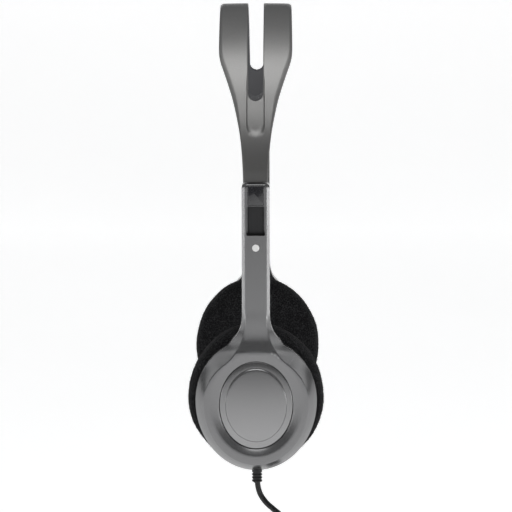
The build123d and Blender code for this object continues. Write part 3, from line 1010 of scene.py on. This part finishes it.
    def loft_prongs(self, name: str, section: Callable[[float], tuple[list[tuple[float, float]], float]],
                    wall: int, degrees: float) -> bpy.types.Object:
        """Loft both halves of the band from station to station and join them where there is no slot.

        Args:
            name: The object's name.
            section: Gives the (x, radius) points at a height, and the slot's half-width there.
            wall: Edges at the end of a section that face the other half, left open where the halves meet.
            degrees: Angle above which an edge is sharp.

        Returns:
            The lofted piece.
        """
        verts, faces = [], []
        stations = self.stations()
        for flip in (1, -1):
            base = len(verts)
            slots = []
            for height, angle in stations:
                ring, slot = section(height)
                slots.append(slot)
                turn = math.radians(angle)
                drop = height - self.centre_z if angle in (0.0, 180.0) else 0.0
                for x, radius in ring:
                    rise = self.centre_z + radius * math.sin(turn) + drop
                    verts.append((flip * x, -radius * math.cos(turn), rise))
            count = len(ring)
            for s in range(len(stations) - 1):
                for i in range(count):
                    if i >= count - wall and slots[s] == 0 and slots[s + 1] == 0:
                        continue
                    a, b = base + s * count + i, base + s * count + (i + 1) % count
                    faces.append((a, b, b + count, a + count))
            for s in (0, len(stations) - 1):
                faces.append(tuple(base + s * count + i for i in range(count)))
        return sharpen(make_object(name, verts, faces), degrees)

    def build(self, finishes: FinishBook) -> None:
        """Make the band and its liner and put them on the headband body."""
        for piece, node, slot in (
                (self.loft_prongs("band_arch", self.section, 4, 38.0), "headband", "band_silver"),
                (self.loft_prongs("band_liner", self.liner_section, 2, 40.0), "headband_liner",
                 "liner_dark")):
            finishes.install(piece, node, slot, "headband")
            LOG.info("%s: %d faces", piece.name, len(piece.data.polygons))


# ---------------------------------------------------------------- arm and ear shell


def cut_away(piece: bpy.types.Object, cutters: Sequence[bpy.types.Object]) -> bpy.types.Object:
    """Cut closed shapes out of a piece and remove the cutters."""
    for cutter in cutters:
        modifier = piece.modifiers.new("cut", "BOOLEAN")
        modifier.operation = "DIFFERENCE"
        modifier.solver = "EXACT"
        modifier.object = cutter
    apply_modifiers(piece)
    for cutter in cutters:
        bpy.data.objects.remove(cutter)
    return piece


@dataclass
class ArmShell:
    """Arm that flares into the oval ear shell: one moulding, with a crest round the cap's recess.

    The outer face is a net of rays from the cap's centre, so that its creases follow the crest and
    the ridges that run up into the arm. Lengths are in millimetres, depths are counted outward.
    """

    side: Side
    hub_z: float = 0.7
    egg_z: float = 1.9
    rim: tuple[float, float, float] = (25.4, 30.0, 26.5)
    ridge: tuple[float, float, float] = (21.9, 26.6, 20.6)
    crest: tuple[float, float, float] = (19.1, 22.4, 20.4)
    groove: tuple[float, float] = (15.56, 18.86)
    seat: tuple[float, float] = (15.4, 18.7)
    opening: tuple[float, float] = (13.4, 16.7)
    join_z: float = 40.0
    arm_half: float = 5.8
    panel_half: float = 4.15
    arm_top: float = 93.9
    arm_face: float = 70.2
    arm_edge: float = 69.3
    arm_back: float = 62.8
    crest_face: float = 71.55
    groove_face: float = 70.35
    seat_face: float = 67.3
    inner_face: float = 65.8
    rim_face: float = 66.5
    back: float = 62.0
    neck: tuple[tuple[float, float], ...] = (
        (20.0, 1.0), (22.2, 1.0), (23.0, 0.985), (24.0, 0.88), (25.2, 0.66), (26.5, 0.42), (28.0, 0.21),
        (30.0, 0.07), (32.5, 0.0), (40.0, 0.0),
    )

    @cached_property
    def rim_line(self) -> list[tuple[float, float]]:
        """Right half of the silhouette from the bottom up: half an egg, the flare and the arm's edge."""
        return self.half_line(self.rim, 62.0, [(9.9, 28.0), (7.5, 30.9), (6.2, 34.4), (self.arm_half, 38.4)],
                              self.arm_half)

    @cached_property
    def ridge_line(self) -> list[tuple[float, float]]:
        """Right half of the ridge from the bottom up: the crest's outer edge, then up the arm's face."""
        flare = [(10.2, 21.2), (7.7, 25.0), (6.0, 28.4), (4.9, 32.2), (4.3, 36.6)]
        return self.half_line(self.ridge, 52.0, flare, self.panel_half)

    def half_line(self, egg: tuple[float, float, float], leave: float, flare: list[tuple[float, float]],
                  end_x: float) -> list[tuple[float, float]]:
        """Join half an egg to a flare and to the arm at its lower joint.

        Args:
            egg: The egg's half-width, lower and upper reach.
            leave: Angle above the egg's widest place at which the flare begins, in degrees.
            flare: Points of the flare.
            end_x: Half-width where the line meets the joint.

        Returns:
            Dense (x, z) points.
        """
        half, lower, upper = egg
        steps = 140
        line = []
        for i in range(steps + 1):
            angle = math.radians(mix(-90.0, leave, i / steps))
            reach = lower if angle < 0 else upper
            line.append((half * math.cos(angle), self.egg_z + reach * math.sin(angle)))
        knots = [line[-8], line[-1], *flare, (end_x, self.join_z), (end_x, self.join_z + 4)]
        for i in range(1, len(knots) - 2):
            line += [curve_point(knots[i - 1:i + 3], step / 8) for step in range(1, 9)]
        return [(max(x, 0.0), min(z, self.join_z)) for x, z in line]

    def ray_angles(self) -> list[float]:
        """Angles of the rays in the right half, from straight down to straight up, through both corners."""
        rise = self.join_z - self.hub_z
        corners = [math.degrees(math.atan2(rise, x)) for x in (self.arm_half, self.panel_half)]
        marks = [(-90.0, 30.0, 46), (30.0, 62.0, 20), (62.0, corners[0], 26), (corners[0], corners[1], 3),
                 (corners[1], 90.0, 6)]
        angles = []
        for low, high, count in marks:
            angles += [mix(low, high, i / count) for i in range(count)]
        return [*angles, 90.0]

    def reach(self, line: Sequence[tuple[float, float]], angle: float) -> tuple[float, float]:
        """Where a ray from the cap's centre meets a line, or the joint's level above it."""
        wanted = math.radians(angle)
        way = (math.cos(wanted), math.sin(wanted))
        for (x0, z0), (x1, z1) in zip(line, line[1:]):
            a0 = x0 * way[1] - (z0 - self.hub_z) * way[0]
            a1 = x1 * way[1] - (z1 - self.hub_z) * way[0]
            if a0 >= 0 >= a1 and a0 != a1:
                share = a0 / (a0 - a1)
                return (mix(x0, x1, share), mix(z0, z1, share))
        rise = self.join_z - self.hub_z
        return (rise * way[0] / max(way[1], 1e-6), self.join_z)

    def on_oval(self, oval: tuple[float, float], angle: float) -> tuple[float, float]:
        """Where a ray meets an oval round the cap's centre."""
        c, s = math.cos(math.radians(angle)), math.sin(math.radians(angle))
        radius = 1 / math.hypot(c / oval[0], s / oval[1])
        return (radius * c, self.hub_z + radius * s)

    def face_depth(self, z: float) -> float:
        """Depth along the crest, which falls to the arm's flat face above the cap."""
        rise = through(self.neck, z)
        return mix(self.arm_face, self.crest_face, min(max(rise, 0.0), 1.0))

    def foot_depth(self, z: float) -> float:
        """Depth of the silhouette's edge, which rises from the cup's rim to the arm's side."""
        return mix(self.rim_face, self.arm_edge, smoothstep(24.0, 39.5, z))

    def slope_depth(self, x: float, z: float, along: float) -> float:
        """Depth between ridge and silhouette: along the ray low down, straight across beside the arm."""
        ridge_x, rim_x = (through_line(line, z) for line in (self.ridge_line, self.rim_line))
        share = min(max((x - ridge_x) / max(rim_x - ridge_x, 0.1), 0.0), 1.0)
        across = mix(self.face_depth(z) - 0.12, self.foot_depth(z), share)
        return mix(along, across, smoothstep(12.0, 22.0, z))

    def ray(self, angle: float) -> list[tuple[float, float, float]]:
        """One ray's closed section as (x, depth, z): over the crest, down the rim and back inside."""
        seat, groove = self.on_oval(self.seat, angle), self.on_oval(self.groove, angle)
        crest = self.reach(self.half_line(self.crest, 89.0, [], 0.0)[:141], angle) if angle < 88.5 else None
        crest = crest or (math.cos(math.radians(angle)) * 21.0, self.egg_z + self.crest[2])
        ridge, rim = self.reach(self.ridge_line, angle), self.reach(self.rim_line, angle)
        points = [(seat[0], self.seat_face, seat[1])]
        points += [(mix(seat[0], groove[0], t), depth, mix(seat[1], groove[1], t))
                   for t, depth in ((0.25, 68.2), (0.5, 69.7))]
        points.append((groove[0], self.groove_face, groove[1]))
        for t in (0.12, 0.4, 0.65, 0.85, 0.97):
            rise = self.groove_face + (self.crest_face - 0.1 - self.groove_face) * (t ** 0.85)
            points.append((mix(groove[0], crest[0], t), rise, mix(groove[1], crest[1], t)))
        strip = 14
        for i in range(strip + 1):
            t = i / strip
            x, z = mix(crest[0], ridge[0], t), mix(crest[1], ridge[1], t)
            round_off = 0.12 * (2 * t - 1) ** 4
            points.append((x, self.face_depth(z) - round_off, z))
        on_arm = smoothstep(24.0, 39.5, rim[1])
        foot = self.foot_depth(rim[1])
        if self.meets_joint(angle):
            strip_share = (rim[0] - self.panel_half) / (self.arm_half - self.panel_half)
            foot = mix(self.arm_face - 0.12, self.arm_edge, min(max(strip_share, 0.0), 1.0))
        top = points[-1][1]
        for t in (0.04, 0.12, 0.25, 0.4, 0.6, 0.8, 0.94):
            x, z = mix(ridge[0], rim[0], t), mix(ridge[1], rim[1], t)
            bulge = 0.25 * math.sin(math.pi * t) * (1 - on_arm)
            points.append((x, self.slope_depth(x, z, mix(top, foot, t) + bulge), z))
        back = mix(self.back, self.arm_back, smoothstep(36.0, self.join_z, rim[1]))
        for t in (0.0, 0.08, 0.5, 0.93, 1.0):
            tuck = 0.25 * smoothstep(0.85, 1.0, t)
            lift = tuck * math.sin(math.radians(angle)) * (1 - on_arm)
            points.append((rim[0] * (1 - tuck / 30), mix(foot, back, t), rim[1] - lift))
        opening = self.on_oval(self.opening, angle)
        lip = 1 - 2.2 / math.hypot(rim[0], rim[1] - self.hub_z)
        inner = (rim[0] * lip, self.hub_z + (rim[1] - self.hub_z) * lip)
        if rim[1] > 30.0:
            inner = self.reach([(x * 0.91, z * 0.91) for x, z in self.rim_line[:141]], min(angle, 70.0))
            narrow = math.cos(math.radians(angle)) / math.cos(math.radians(min(angle, 70.0)))
            inner = (inner[0] * narrow, 26.0)
        for (x, z), depth in ((inner, back), (inner, self.inner_face), (opening, self.inner_face),
                              (opening, self.seat_face)):
            points.append((x, depth, z))
        return points

    def build_net(self) -> bpy.types.Object:
        """Make the cup's net and carry its upper edge on as the arm, closed at the top."""
        half = self.ray_angles()
        rays = [(1, a) for a in half] + [(-1, a) for a in reversed(half[1:-1])]
        verts, faces = [], []
        sections = [[(flip * x, depth, z) for x, depth, z in self.ray(angle)] for flip, angle in rays]
        count, total = len(sections[0]), len(rays)
        wall_first = count - 9
        top = [i for i, (_, angle) in enumerate(rays) if self.meets_joint(angle)]
        for section in sections:
            verts += section
        for r in range(total):
            following = (r + 1) % total
            both_top = r in top and following in top
            for i in range(count):
                if both_top and wall_first <= i < wall_first + 4:
                    continue
                j = (i + 1) % count
                faces.append((r * count + i, r * count + j, following * count + j, following * count + i))
        self.carry_arm(verts, faces, top, count, wall_first)
        placed = [(x, self.side.value * depth, z) for x, depth, z in verts]
        return make_object(f"{self.side.word}_arm_moulding", placed, faces)

    def meets_joint(self, angle: float) -> bool:
        """Whether a ray leaves the cup through the arm's lower joint."""
        corner = math.degrees(math.atan2(self.join_z - self.hub_z, self.arm_half))
        return angle >= corner - 1e-6

    def carry_arm(self, verts: list, faces: list, top: list[int], count: int, wall_first: int) -> None:
        """Run the joint's outline up to the arm's top and close it with a rounded end."""
        front = [top_ray * count + wall_first for top_ray in top]
        wall = [top[-1] * count + wall_first + k for k in range(1, 4)]
        behind = [top_ray * count + wall_first + 4 for top_ray in reversed(top)]
        other_wall = [top[0] * count + wall_first + k for k in (3, 2, 1)]
        loop = front + wall + behind + other_wall
        base = [verts[i] for i in loop]
        heights = [mix(self.join_z, self.arm_top - 1.6, i / 24) for i in range(1, 25)]
        previous = loop
        rounding = [(self.arm_top - 1.6 + 1.6 * math.sin(math.radians(15 * k)),
                     1.6 * (1 - math.cos(math.radians(15 * k)))) for k in range(1, 7)]
        for height, inset in [(h, 0.0) for h in heights] + rounding:
            start = len(verts)
            for x, depth, _ in base:
                narrow = 1 - 0.75 * inset / self.arm_half
                soft = 0.28 * inset if depth > 67 else 0.12 * inset
                middle = (self.arm_face + self.arm_back) / 2
                pulled = depth - math.copysign(soft, depth - middle)
                verts.append((x * narrow, pulled, height))
            ring = list(range(start, start + len(base)))
            for i in range(len(base)):
                j = (i + 1) % len(base)
                faces.append((previous[i], previous[j], ring[j], ring[i]))
            previous = ring
        faces.append(tuple(previous))

    def cutters(self) -> list[bpy.types.Object]:
        """Shapes of the window, the panel's recess, the strip's channel and the lid's seat."""
        spans = (
            (rounded_rectangle(3.9, 72.4, 84.7, 0.7), 66.0, 72.0),
            (rounded_rectangle(3.42, 85.0, 93.1, 0.5), 69.0, 72.0),
            (rounded_rectangle(3.35, 44.5, 96.0, 0.2), 64.4, 67.3),
            (rounded_rectangle(4.8, 39.9, 96.0, 0.2), 61.0, 64.6),
        )
        made = []
        for index, (outline, low, high) in enumerate(spans):
            made.append(extrude_outline(f"cutter_{index}", outline, [(low, 0.0), (high, 0.0)], self.side))
        return made

    def build(self, finishes: FinishBook) -> None:
        """Make the moulding, cut its openings and put it on its side's body."""
        moulding = cut_away(self.build_net(), self.cutters())
        moulding.data.shade_smooth()
        sharpen(moulding, 30.0)
        finishes.install(moulding, f"{self.side.word}_arm_shell", "shell_plastic", self.side.body)
        LOG.info("%s: %d faces", moulding.name, len(moulding.data.polygons))


# ---------------------------------------------------------------- repeated shapes


class GeometryTree(Tree):
    """A geometry node tree that ends in Realize Instances and Set Material."""

    def __init__(self, name: str, inputs: dict[str, tuple[str, object]]) -> None:
        """Make the tree with its named inputs."""
        super().__init__(bpy.data.node_groups.new(name, "GeometryNodeTree"))
        self.tree.interface.new_socket(name="Geometry", in_out="INPUT", socket_type="NodeSocketGeometry")
        for label, (kind, default) in inputs.items():
            socket = self.tree.interface.new_socket(name=label, in_out="INPUT", socket_type=kind)
            if default is not None:
                socket.default_value = default
        self.tree.interface.new_socket(name="Geometry", in_out="OUTPUT", socket_type="NodeSocketGeometry")
        self.entry = self.tree.nodes.new("NodeGroupInput")
        self.leave = self.tree.nodes.new("NodeGroupOutput")

    def feed(self, **targets: bpy.types.NodeSocket) -> None:
        """Link the tree's own inputs, by name, to sockets inside it."""
        for name, socket in targets.items():
            self.join(self.entry.outputs[name], socket)

    def close(self, geometry: bpy.types.NodeSocket) -> bpy.types.NodeTree:
        """Realize the instances, set the material input on them and finish the tree."""
        real = self.add("GeometryNodeRealizeInstances")
        paint = self.add("GeometryNodeSetMaterial")
        self.join(geometry, real.inputs[0])
        self.join(real.outputs[0], paint.inputs["Geometry"])
        self.join(self.entry.outputs["Material"], paint.inputs["Material"])
        self.join(paint.outputs[0], self.leave.inputs[0])
        return self.tree


def ring_stack_tree() -> bpy.types.NodeTree:
    """Rings round a line along Z: the ribs of a sleeve or a grip."""
    tree = GeometryTree("ring_stack", {
        "Count": ("NodeSocketInt", 4), "Start": ("NodeSocketVector", (0, 0, 0)),
        "Step": ("NodeSocketVector", (0, 0, 0.001)), "Radius": ("NodeSocketFloat", 0.002),
        "Thickness": ("NodeSocketFloat", 0.0003), "Material": ("NodeSocketMaterial", None)})
    line = tree.add("GeometryNodeMeshLine")
    circle = tree.add("GeometryNodeCurvePrimitiveCircle", Resolution=48)
    profile = tree.add("GeometryNodeCurvePrimitiveCircle", Resolution=10)
    ring = tree.add("GeometryNodeCurveToMesh")
    spread = tree.add("GeometryNodeInstanceOnPoints")
    tree.feed(Count=line.inputs["Count"], Start=line.inputs["Start Location"], Step=line.inputs["Offset"],
              Radius=circle.inputs["Radius"], Thickness=profile.inputs["Radius"])
    tree.join(circle.outputs["Curve"], ring.inputs["Curve"])
    tree.join(profile.outputs["Curve"], ring.inputs["Profile Curve"])
    tree.join(line.outputs["Mesh"], spread.inputs["Points"])
    tree.join(ring.outputs["Mesh"], spread.inputs["Instance"])
    return tree.close(spread.outputs["Instances"])


def fibre_tree() -> bpy.types.NodeTree:
    """Short broken cell walls that stand off a foam surface and blur its outline."""
    tree = GeometryTree("foam_fibres", {
        "Density": ("NodeSocketFloat", 800000.0), "Length": ("NodeSocketFloat", 0.0004),
        "Seed": ("NodeSocketInt", 7), "Material": ("NodeSocketMaterial", None)})
    points = tree.add("GeometryNodeDistributePointsOnFaces")
    cone = tree.add("GeometryNodeMeshCone", Vertices=3, Radius_Bottom=0.00006, Radius_Top=0.00001)
    lean = tree.add("FunctionNodeRandomValue", data_type="FLOAT_VECTOR")
    lean.inputs[0].default_value = (-0.9, -0.9, -3.1)
    lean.inputs[1].default_value = (0.9, 0.9, 3.1)
    turn = tree.add("FunctionNodeRotateRotation", rotation_space="LOCAL")
    size = tree.add("FunctionNodeRandomValue", data_type="FLOAT")
    size.inputs[2].default_value = 0.5
    size.inputs[3].default_value = 1.3
    spread = tree.add("GeometryNodeInstanceOnPoints")
    both = tree.add("GeometryNodeJoinGeometry")
    tree.feed(Geometry=points.inputs["Mesh"], Density=points.inputs["Density"], Seed=points.inputs["Seed"],
              Length=cone.inputs["Depth"])
    tree.join(points.outputs["Points"], spread.inputs["Points"])
    tree.join(cone.outputs["Mesh"], spread.inputs["Instance"])
    tree.join(points.outputs["Rotation"], turn.inputs["Rotation"])
    tree.join(lean.outputs[0], turn.inputs["Rotate By"])
    tree.join(turn.outputs[0], spread.inputs["Rotation"])
    tree.join(size.outputs[1], spread.inputs["Scale"])
    tree.join(spread.outputs["Instances"], both.inputs[0])
    tree.join(tree.entry.outputs["Geometry"], both.inputs[0])
    return tree.close(both.outputs[0])


def grow(piece: bpy.types.Object, tree: bpy.types.NodeTree, values: dict[str, object]) -> bpy.types.Object:
    """Run a geometry tree on a piece with its own input values and keep the result as a plain mesh.

    Args:
        piece: The object that the tree runs on.
        tree: The geometry node tree.
        values: Input names with their values.

    Returns:
        The same object with its new mesh.
    """
    modifier = piece.modifiers.new(tree.name, "NODES")
    modifier.node_group = tree
    for item in tree.interface.items_tree:
        if item.in_out == "INPUT" and item.name in values:
            modifier[item.identifier] = values[item.name]
    return apply_modifiers(piece)


# ---------------------------------------------------------------- cap and arm trim


@dataclass
class Cap:
    """Oval outer cap: a ring that falls outward, a small round step and a gently domed middle."""

    side: Side
    centre_z: float = 0.7
    half: tuple[float, float] = (15.3, 18.6)
    profile: tuple[tuple[float, float], ...] = (
        (0.0, 71.5), (0.12, 71.48), (0.25, 71.43), (0.38, 71.35), (0.5, 71.24), (0.62, 71.11), (0.72, 70.97),
        (0.79, 70.86), (0.812, 70.81), (0.822, 70.76), (0.83, 70.66), (0.836, 70.5), (0.843, 70.42),
        (0.855, 70.37), (0.87, 70.36), (0.9, 70.3), (0.94, 70.2), (0.975, 70.1), (0.992, 70.04),
        (0.998, 69.95), (1.0, 69.7),
        (1.0, 67.4), (0.97, 67.3), (0.86, 67.3),
    )

    def build(self, finishes: FinishBook) -> None:
        """Make the cap from oval rings and put it on its side's arm."""
        turns = 128
        verts, faces = [], []
        for share, depth in self.profile:
            for i in range(turns):
                angle = math.tau * i / turns
                verts.append((self.half[0] * share * math.cos(angle), self.side.value * depth,
                              self.centre_z + self.half[1] * share * math.sin(angle)))
        faces += loops_to_faces(turns, len(self.profile))
        last = (len(self.profile) - 1) * turns
        faces.append(tuple(range(last, last + turns)))
        cap = sharpen(make_object(f"{self.side.word}_cap_oval", verts, faces), 42.0)
        finishes.install(cap, f"{self.side.word}_cap", "cap_plastic", self.side.body)


@dataclass
class ArmTrim:
    """Small pieces on the arm: the gloss panel, the pale marker disc and the lid behind."""

    side: Side
    marker_z: float = 67.3
    marker_radius: float = 1.47

    def build(self, finishes: FinishBook) -> None:
        """Make the three pieces and put them on their side's arm."""
        word = self.side.word
        panel = extrude_outline(f"{word}_panel", rounded_rectangle(3.3, 85.1, 93.0, 0.45),
                                [(69.0, 0.0), (69.86, 0.0), (69.96, 0.05), (70.0, 0.16)], self.side)
        turns = [math.tau * i / 48 for i in range(48)]
        disc = [(self.marker_radius * math.cos(a), self.marker_z + self.marker_radius * math.sin(a))
                for a in turns]
        marker = extrude_outline(f"{word}_marker", disc,
                                 [(69.8, 0.0), (70.2, 0.0), (70.24, 0.03), (70.25, 0.12)], self.side)
        lid = extrude_outline(f"{word}_lid", rounded_rectangle(4.7, 40.0, 93.6, 0.6),
                              [(64.6, 0.0), (62.95, 0.0), (62.85, 0.06), (62.8, 0.2)], self.side)
        for piece, node, slot in ((panel, "arm_insert", "gloss_black"),
                                  (marker, "side_marker", "white_plastic"),
                                  (lid, "arm_cover", "dark_plastic")):
            sharpen(piece, 50.0)
            finishes.install(piece, f"{word}_{node}", slot, self.side.body)


# ---------------------------------------------------------------- ear cushion


@dataclass
class EarCushion:
    """Foam cushion: a crowned disc that dips in the middle and tucks in round the baffle's edge."""

    side: Side
    half: float = 29.0
    lower: float = 28.6
    upper: float = 32.4
    face: float = 45.0
    around: int = 230
    profile: tuple[tuple[float, float], ...] = (
        (0.0, 2.3), (0.2, 2.1), (0.4, 1.4), (0.58, 0.55), (0.72, 0.1), (0.82, 0.15), (0.9, 0.9), (0.955, 2.4),
        (0.985, 4.6), (0.995, 7.2), (0.99, 9.8), (0.972, 12.2), (0.94, 14.0), (0.9, 15.0), (0.86, 15.4),
        (0.8, 15.5),
    )

    def outline(self, angle: float) -> tuple[float, float]:
        """Outline point of the cushion at an angle in radians."""
        reach = self.lower if math.sin(angle) < 0 else self.upper
        return self.half * math.cos(angle), reach * math.sin(angle)

    def dense_profile(self, step: float = 0.6) -> list[tuple[float, float]]:
        """The profile with points close together along its smooth curve."""
        dense = []
        knots = [self.profile[0], *self.profile, self.profile[-1]]
        for four in zip(knots, knots[1:], knots[2:], knots[3:]):
            _, here, there, _ = four
            span = math.hypot((there[0] - here[0]) * self.half, there[1] - here[1])
            count = max(1, round(span / step))
            dense += [curve_point(four, i / count) for i in range(count)]
        return [*dense, self.profile[-1]]

    def roughen(self, piece: bpy.types.Object) -> None:
        """Push the skin in and out by the foam's cells, and let it wave softly at a larger size."""
        mesh = piece.data
        for vertex in mesh.vertices:
            place = vertex.co / MM
            cell = noise.noise(place * 1.15) * 0.16 + noise.noise(place * 2.3 + Vector((9, 3, 5))) * 0.07
            wave = noise.noise(place * 0.09 + Vector((self.side.value * 4.0, 2.0, 1.0))) * 0.35
            vertex.co += vertex.normal * ((cell + wave - 0.2) * MM)
        mesh.update()

    def build(self, finishes: FinishBook, fibres: bpy.types.NodeTree) -> None:
        """Make the foam body, roughen it, grow its loose fibres and put it on its arm."""
        verts = []
        profile = self.dense_profile()
        for share, back in profile:
            for i in range(self.around):
                x, z = self.outline(math.tau * i / self.around)
                verts.append((x * share, self.side.value * (self.face + back), z * share))
        faces = loops_to_faces(self.around, len(profile))
        last = (len(profile) - 1) * self.around
        faces.append(tuple(range(last, last + self.around)))
        foam = make_object(f"{self.side.word}_foam", verts, faces)
        self.roughen(foam)
        finishes.dress(foam, "foam")
        grow(foam, fibres, {"Density": 900000.0, "Length": 0.0005, "Seed": 11 + self.side.value,
                            "Material": finishes.made["foam"]})
        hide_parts(f"{self.side.word}_ear_cushion")
        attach(foam, self.side.body)
        LOG.info("%s: %d faces", foam.name, len(foam.data.polygons))


# ---------------------------------------------------------------- sleeve and plug grip


def bar_row_tree() -> bpy.types.NodeTree:
    """A row of equal small bars: the slats of the microphone's grille."""
    tree = GeometryTree("bar_row", {
        "Count": ("NodeSocketInt", 5), "Start": ("NodeSocketVector", (0, 0, 0)),
        "Step": ("NodeSocketVector", (0, 0, 0.001)), "Size": ("NodeSocketVector", (0.004, 0.0005, 0.0006)),
        "Material": ("NodeSocketMaterial", None)})
    line = tree.add("GeometryNodeMeshLine")
    bar = tree.add("GeometryNodeMeshCube")
    spread = tree.add("GeometryNodeInstanceOnPoints")
    tree.feed(Count=line.inputs["Count"], Start=line.inputs["Start Location"], Step=line.inputs["Offset"],
              Size=bar.inputs["Size"])
    tree.join(line.outputs["Mesh"], spread.inputs["Points"])
    tree.join(bar.outputs["Mesh"], spread.inputs["Instance"])
    return tree.close(spread.outputs["Instances"])


def add_repeats(piece: bpy.types.Object, tree: bpy.types.NodeTree, values: dict[str, object]) -> None:
    """Make repeated shapes with a geometry tree and add them to a piece, as one mesh with it."""
    carrier = make_object(f"{piece.name}_repeats", [(0, 0, 0), (0.01, 0, 0), (0, 0.01, 0)], [(0, 1, 2)])
    grow(carrier, tree, values)
    bm = bmesh.new()
    bm.from_mesh(piece.data)
    bm.from_mesh(carrier.data)
    bm.to_mesh(piece.data)
    bm.free()
    bpy.data.objects.remove(carrier)


@dataclass
class CordFittings:
    """Ribbed sleeve at the shell and the plug's grip. Lengths are in millimetres."""

    relief_at: Point = (0.3, -65.0, -31.5)
    relief_profile: tuple[tuple[float, float], ...] = (
        (1.2, -2.2), (1.4, -2.25), (1.6, -2.1), (1.68, -1.8), (1.68, 2.4), (1.9, 2.6), (2.15, 2.8),
        (2.15, 3.5),
        (1.2, 3.6),
    )
    ring_step: float = 1.35
    grip_at: Point = (31.2, -65.0, -110.0)
    grip_profile: tuple[tuple[float, float], ...] = (
        (0.0, 0.0), (2.6, 0.0), (3.3, 0.15), (3.65, 0.5), (3.8, 1.1), (3.8, 12.2), (3.55, 12.6), (3.5, 13.0),
        (3.5, 19.4), (3.2, 20.4), (2.5, 21.3), (1.8, 21.8), (1.3, 22.0), (0.0, 22.0),
    )

    def build(self, finishes: FinishBook, rings: bpy.types.NodeTree) -> bpy.types.Object:
        """Make both pieces with their rings, put them on the right arm and return the grip."""
        sleeve = lathe("relief_sleeve", self.relief_profile, self.relief_at, "Z", 40)
        grip = lathe("plug_grip_body", self.grip_profile, self.grip_at, "Z", 56)
        for piece, node, foot, count, rise, radius, thickness in (
                (sleeve, "strain_relief", self.relief_at, 4, -1.5, 1.78, 0.4),
                (grip, "plug_grip", self.grip_at, 5, 13.6, 3.45, 0.3)):
            x, y, z = (v * MM for v in foot)
            add_repeats(piece, rings, {
                "Count": count, "Start": (x, y, z + rise * MM), "Step": (0.0, 0.0, self.ring_step * MM),
                "Radius": radius * MM, "Thickness": thickness * MM,
                "Material": finishes.made["relief_rubber"]})
            sharpen(piece, 40.0)
            finishes.install(piece, node, "relief_rubber", Side.RIGHT.body)
        return grip


# ---------------------------------------------------------------- microphone boom


@dataclass
class Boom:
    """Turning hub, slim bar and microphone on the left side. Lengths are in millimetres."""

    side: Side = Side.LEFT
    hub_z: float = 0.7
    hub_profile: tuple[tuple[float, float], ...] = (
        (0.0, 69.7), (2.4, 69.7), (2.4, 72.25), (9.2, 72.25), (9.8, 72.4), (10.0, 72.8), (10.0, 75.2),
        (9.85, 75.75), (9.4, 76.05), (8.6, 76.15), (7.4, 76.18), (7.3, 76.05), (7.1, 75.95), (6.9, 76.0),
        (6.7, 76.08), (4.0, 76.18),
        (2.0, 76.2), (0.0, 76.2),
    )
    bar_span: tuple[float, float] = (9.9, 96.6)
    bar_middle: float = 74.2
    mic_span: tuple[float, float] = (96.0, 112.0)

    def build_bar(self) -> bpy.types.Object:
        """Slim bar with a rounded section, widest at its hub."""
        stations, points = 72, 28
        verts = []
        for i in range(stations + 1):
            t = i / stations
            z = mix(*self.bar_span, t)
            half_x = mix(2.2, 1.7, smoothstep(0.0, 0.35, t)) + 0.35 * smoothstep(0.9, 1.0, t)
            half_y = mix(1.2, 1.05, smoothstep(0.0, 0.35, t))
            for k in range(points):
                angle = math.tau * k / points
                c, s = math.cos(angle), math.sin(angle)
                x = half_x * math.copysign(abs(c) ** 0.6, c)
                depth = self.bar_middle + half_y * math.copysign(abs(s) ** 0.6, s)
                verts.append((x, self.side.value * depth, z))
        faces = loops_to_faces(points, stations + 1)
        faces += [tuple(range(points)), tuple(range(stations * points, (stations + 1) * points))]
        return make_object("boom_bar", verts, faces)

    def build_mic(self, finishes: FinishBook, bars: bpy.types.NodeTree) -> bpy.types.Object:
        """Rounded microphone housing with a slatted opening towards the mouth."""
        low, high = self.mic_span
        depths = [(72.6, 0.9), (72.72, 0.5), (73.0, 0.18), (73.5, 0.0), (76.0, 0.0), (76.45, 0.18),
                  (76.75, 0.5), (76.88, 0.9)]
        outline = rounded_rectangle(3.6, low, high, 2.6, 10)
        housing = extrude_outline("microphone_shell", outline, depths, self.side)
        pocket_outline = rounded_rectangle(2.1, 100.6, 109.4, 1.2)
        pocket = extrude_outline("cutter_grille", pocket_outline, [(70.0, 0.0), (73.1, 0.0)], self.side)
        cut_away(housing, [pocket])
        add_repeats(housing, bars, {
            "Count": 6, "Start": (0.0, self.side.value * 72.85 * MM, 101.5 * MM),
            "Step": (0.0, 0.0, 1.4 * MM),
            "Size": (4.4 * MM, 0.35 * MM, 0.6 * MM), "Material": finishes.made["dark_plastic"]})
        return housing

    def build(self, finishes: FinishBook, bars: bpy.types.NodeTree) -> None:
        """Make the hub, the bar and the microphone and put them on the boom's body."""
        profile = [(radius, self.side.value * depth) for radius, depth in self.hub_profile]
        hub = lathe("boom_hub_disc", profile, (0.0, 0.0, self.hub_z), "Y", 80)
        for piece, node in ((hub, "boom_hub"), (self.build_bar(), "boom_arm"),
                            (self.build_mic(finishes, bars), "mic_housing")):
            sharpen(piece, 38.0)
            finishes.install(piece, node, "dark_plastic", "boom")


def main() -> None:
    """Build the studio and every part of the headset, in order."""
    logging.basicConfig(level=logging.INFO, format="%(name)s %(message)s")
    studio = Studio()
    studio.build()
    finishes = FinishBook()
    finishes.dress_frame()
    grip = CordFittings().build(finishes, ring_stack_tree())
    Cord().build(finishes, grip)
    Headband().build(finishes)
    fibres = fibre_tree()
    for side in Side:
        ArmShell(side).build(finishes)
        Cap(side).build(finishes)
        ArmTrim(side).build(finishes)
        EarCushion(side).build(finishes, fibres)
    Boom().build(finishes, bar_row_tree())


if __name__ == "__main__":
    main()
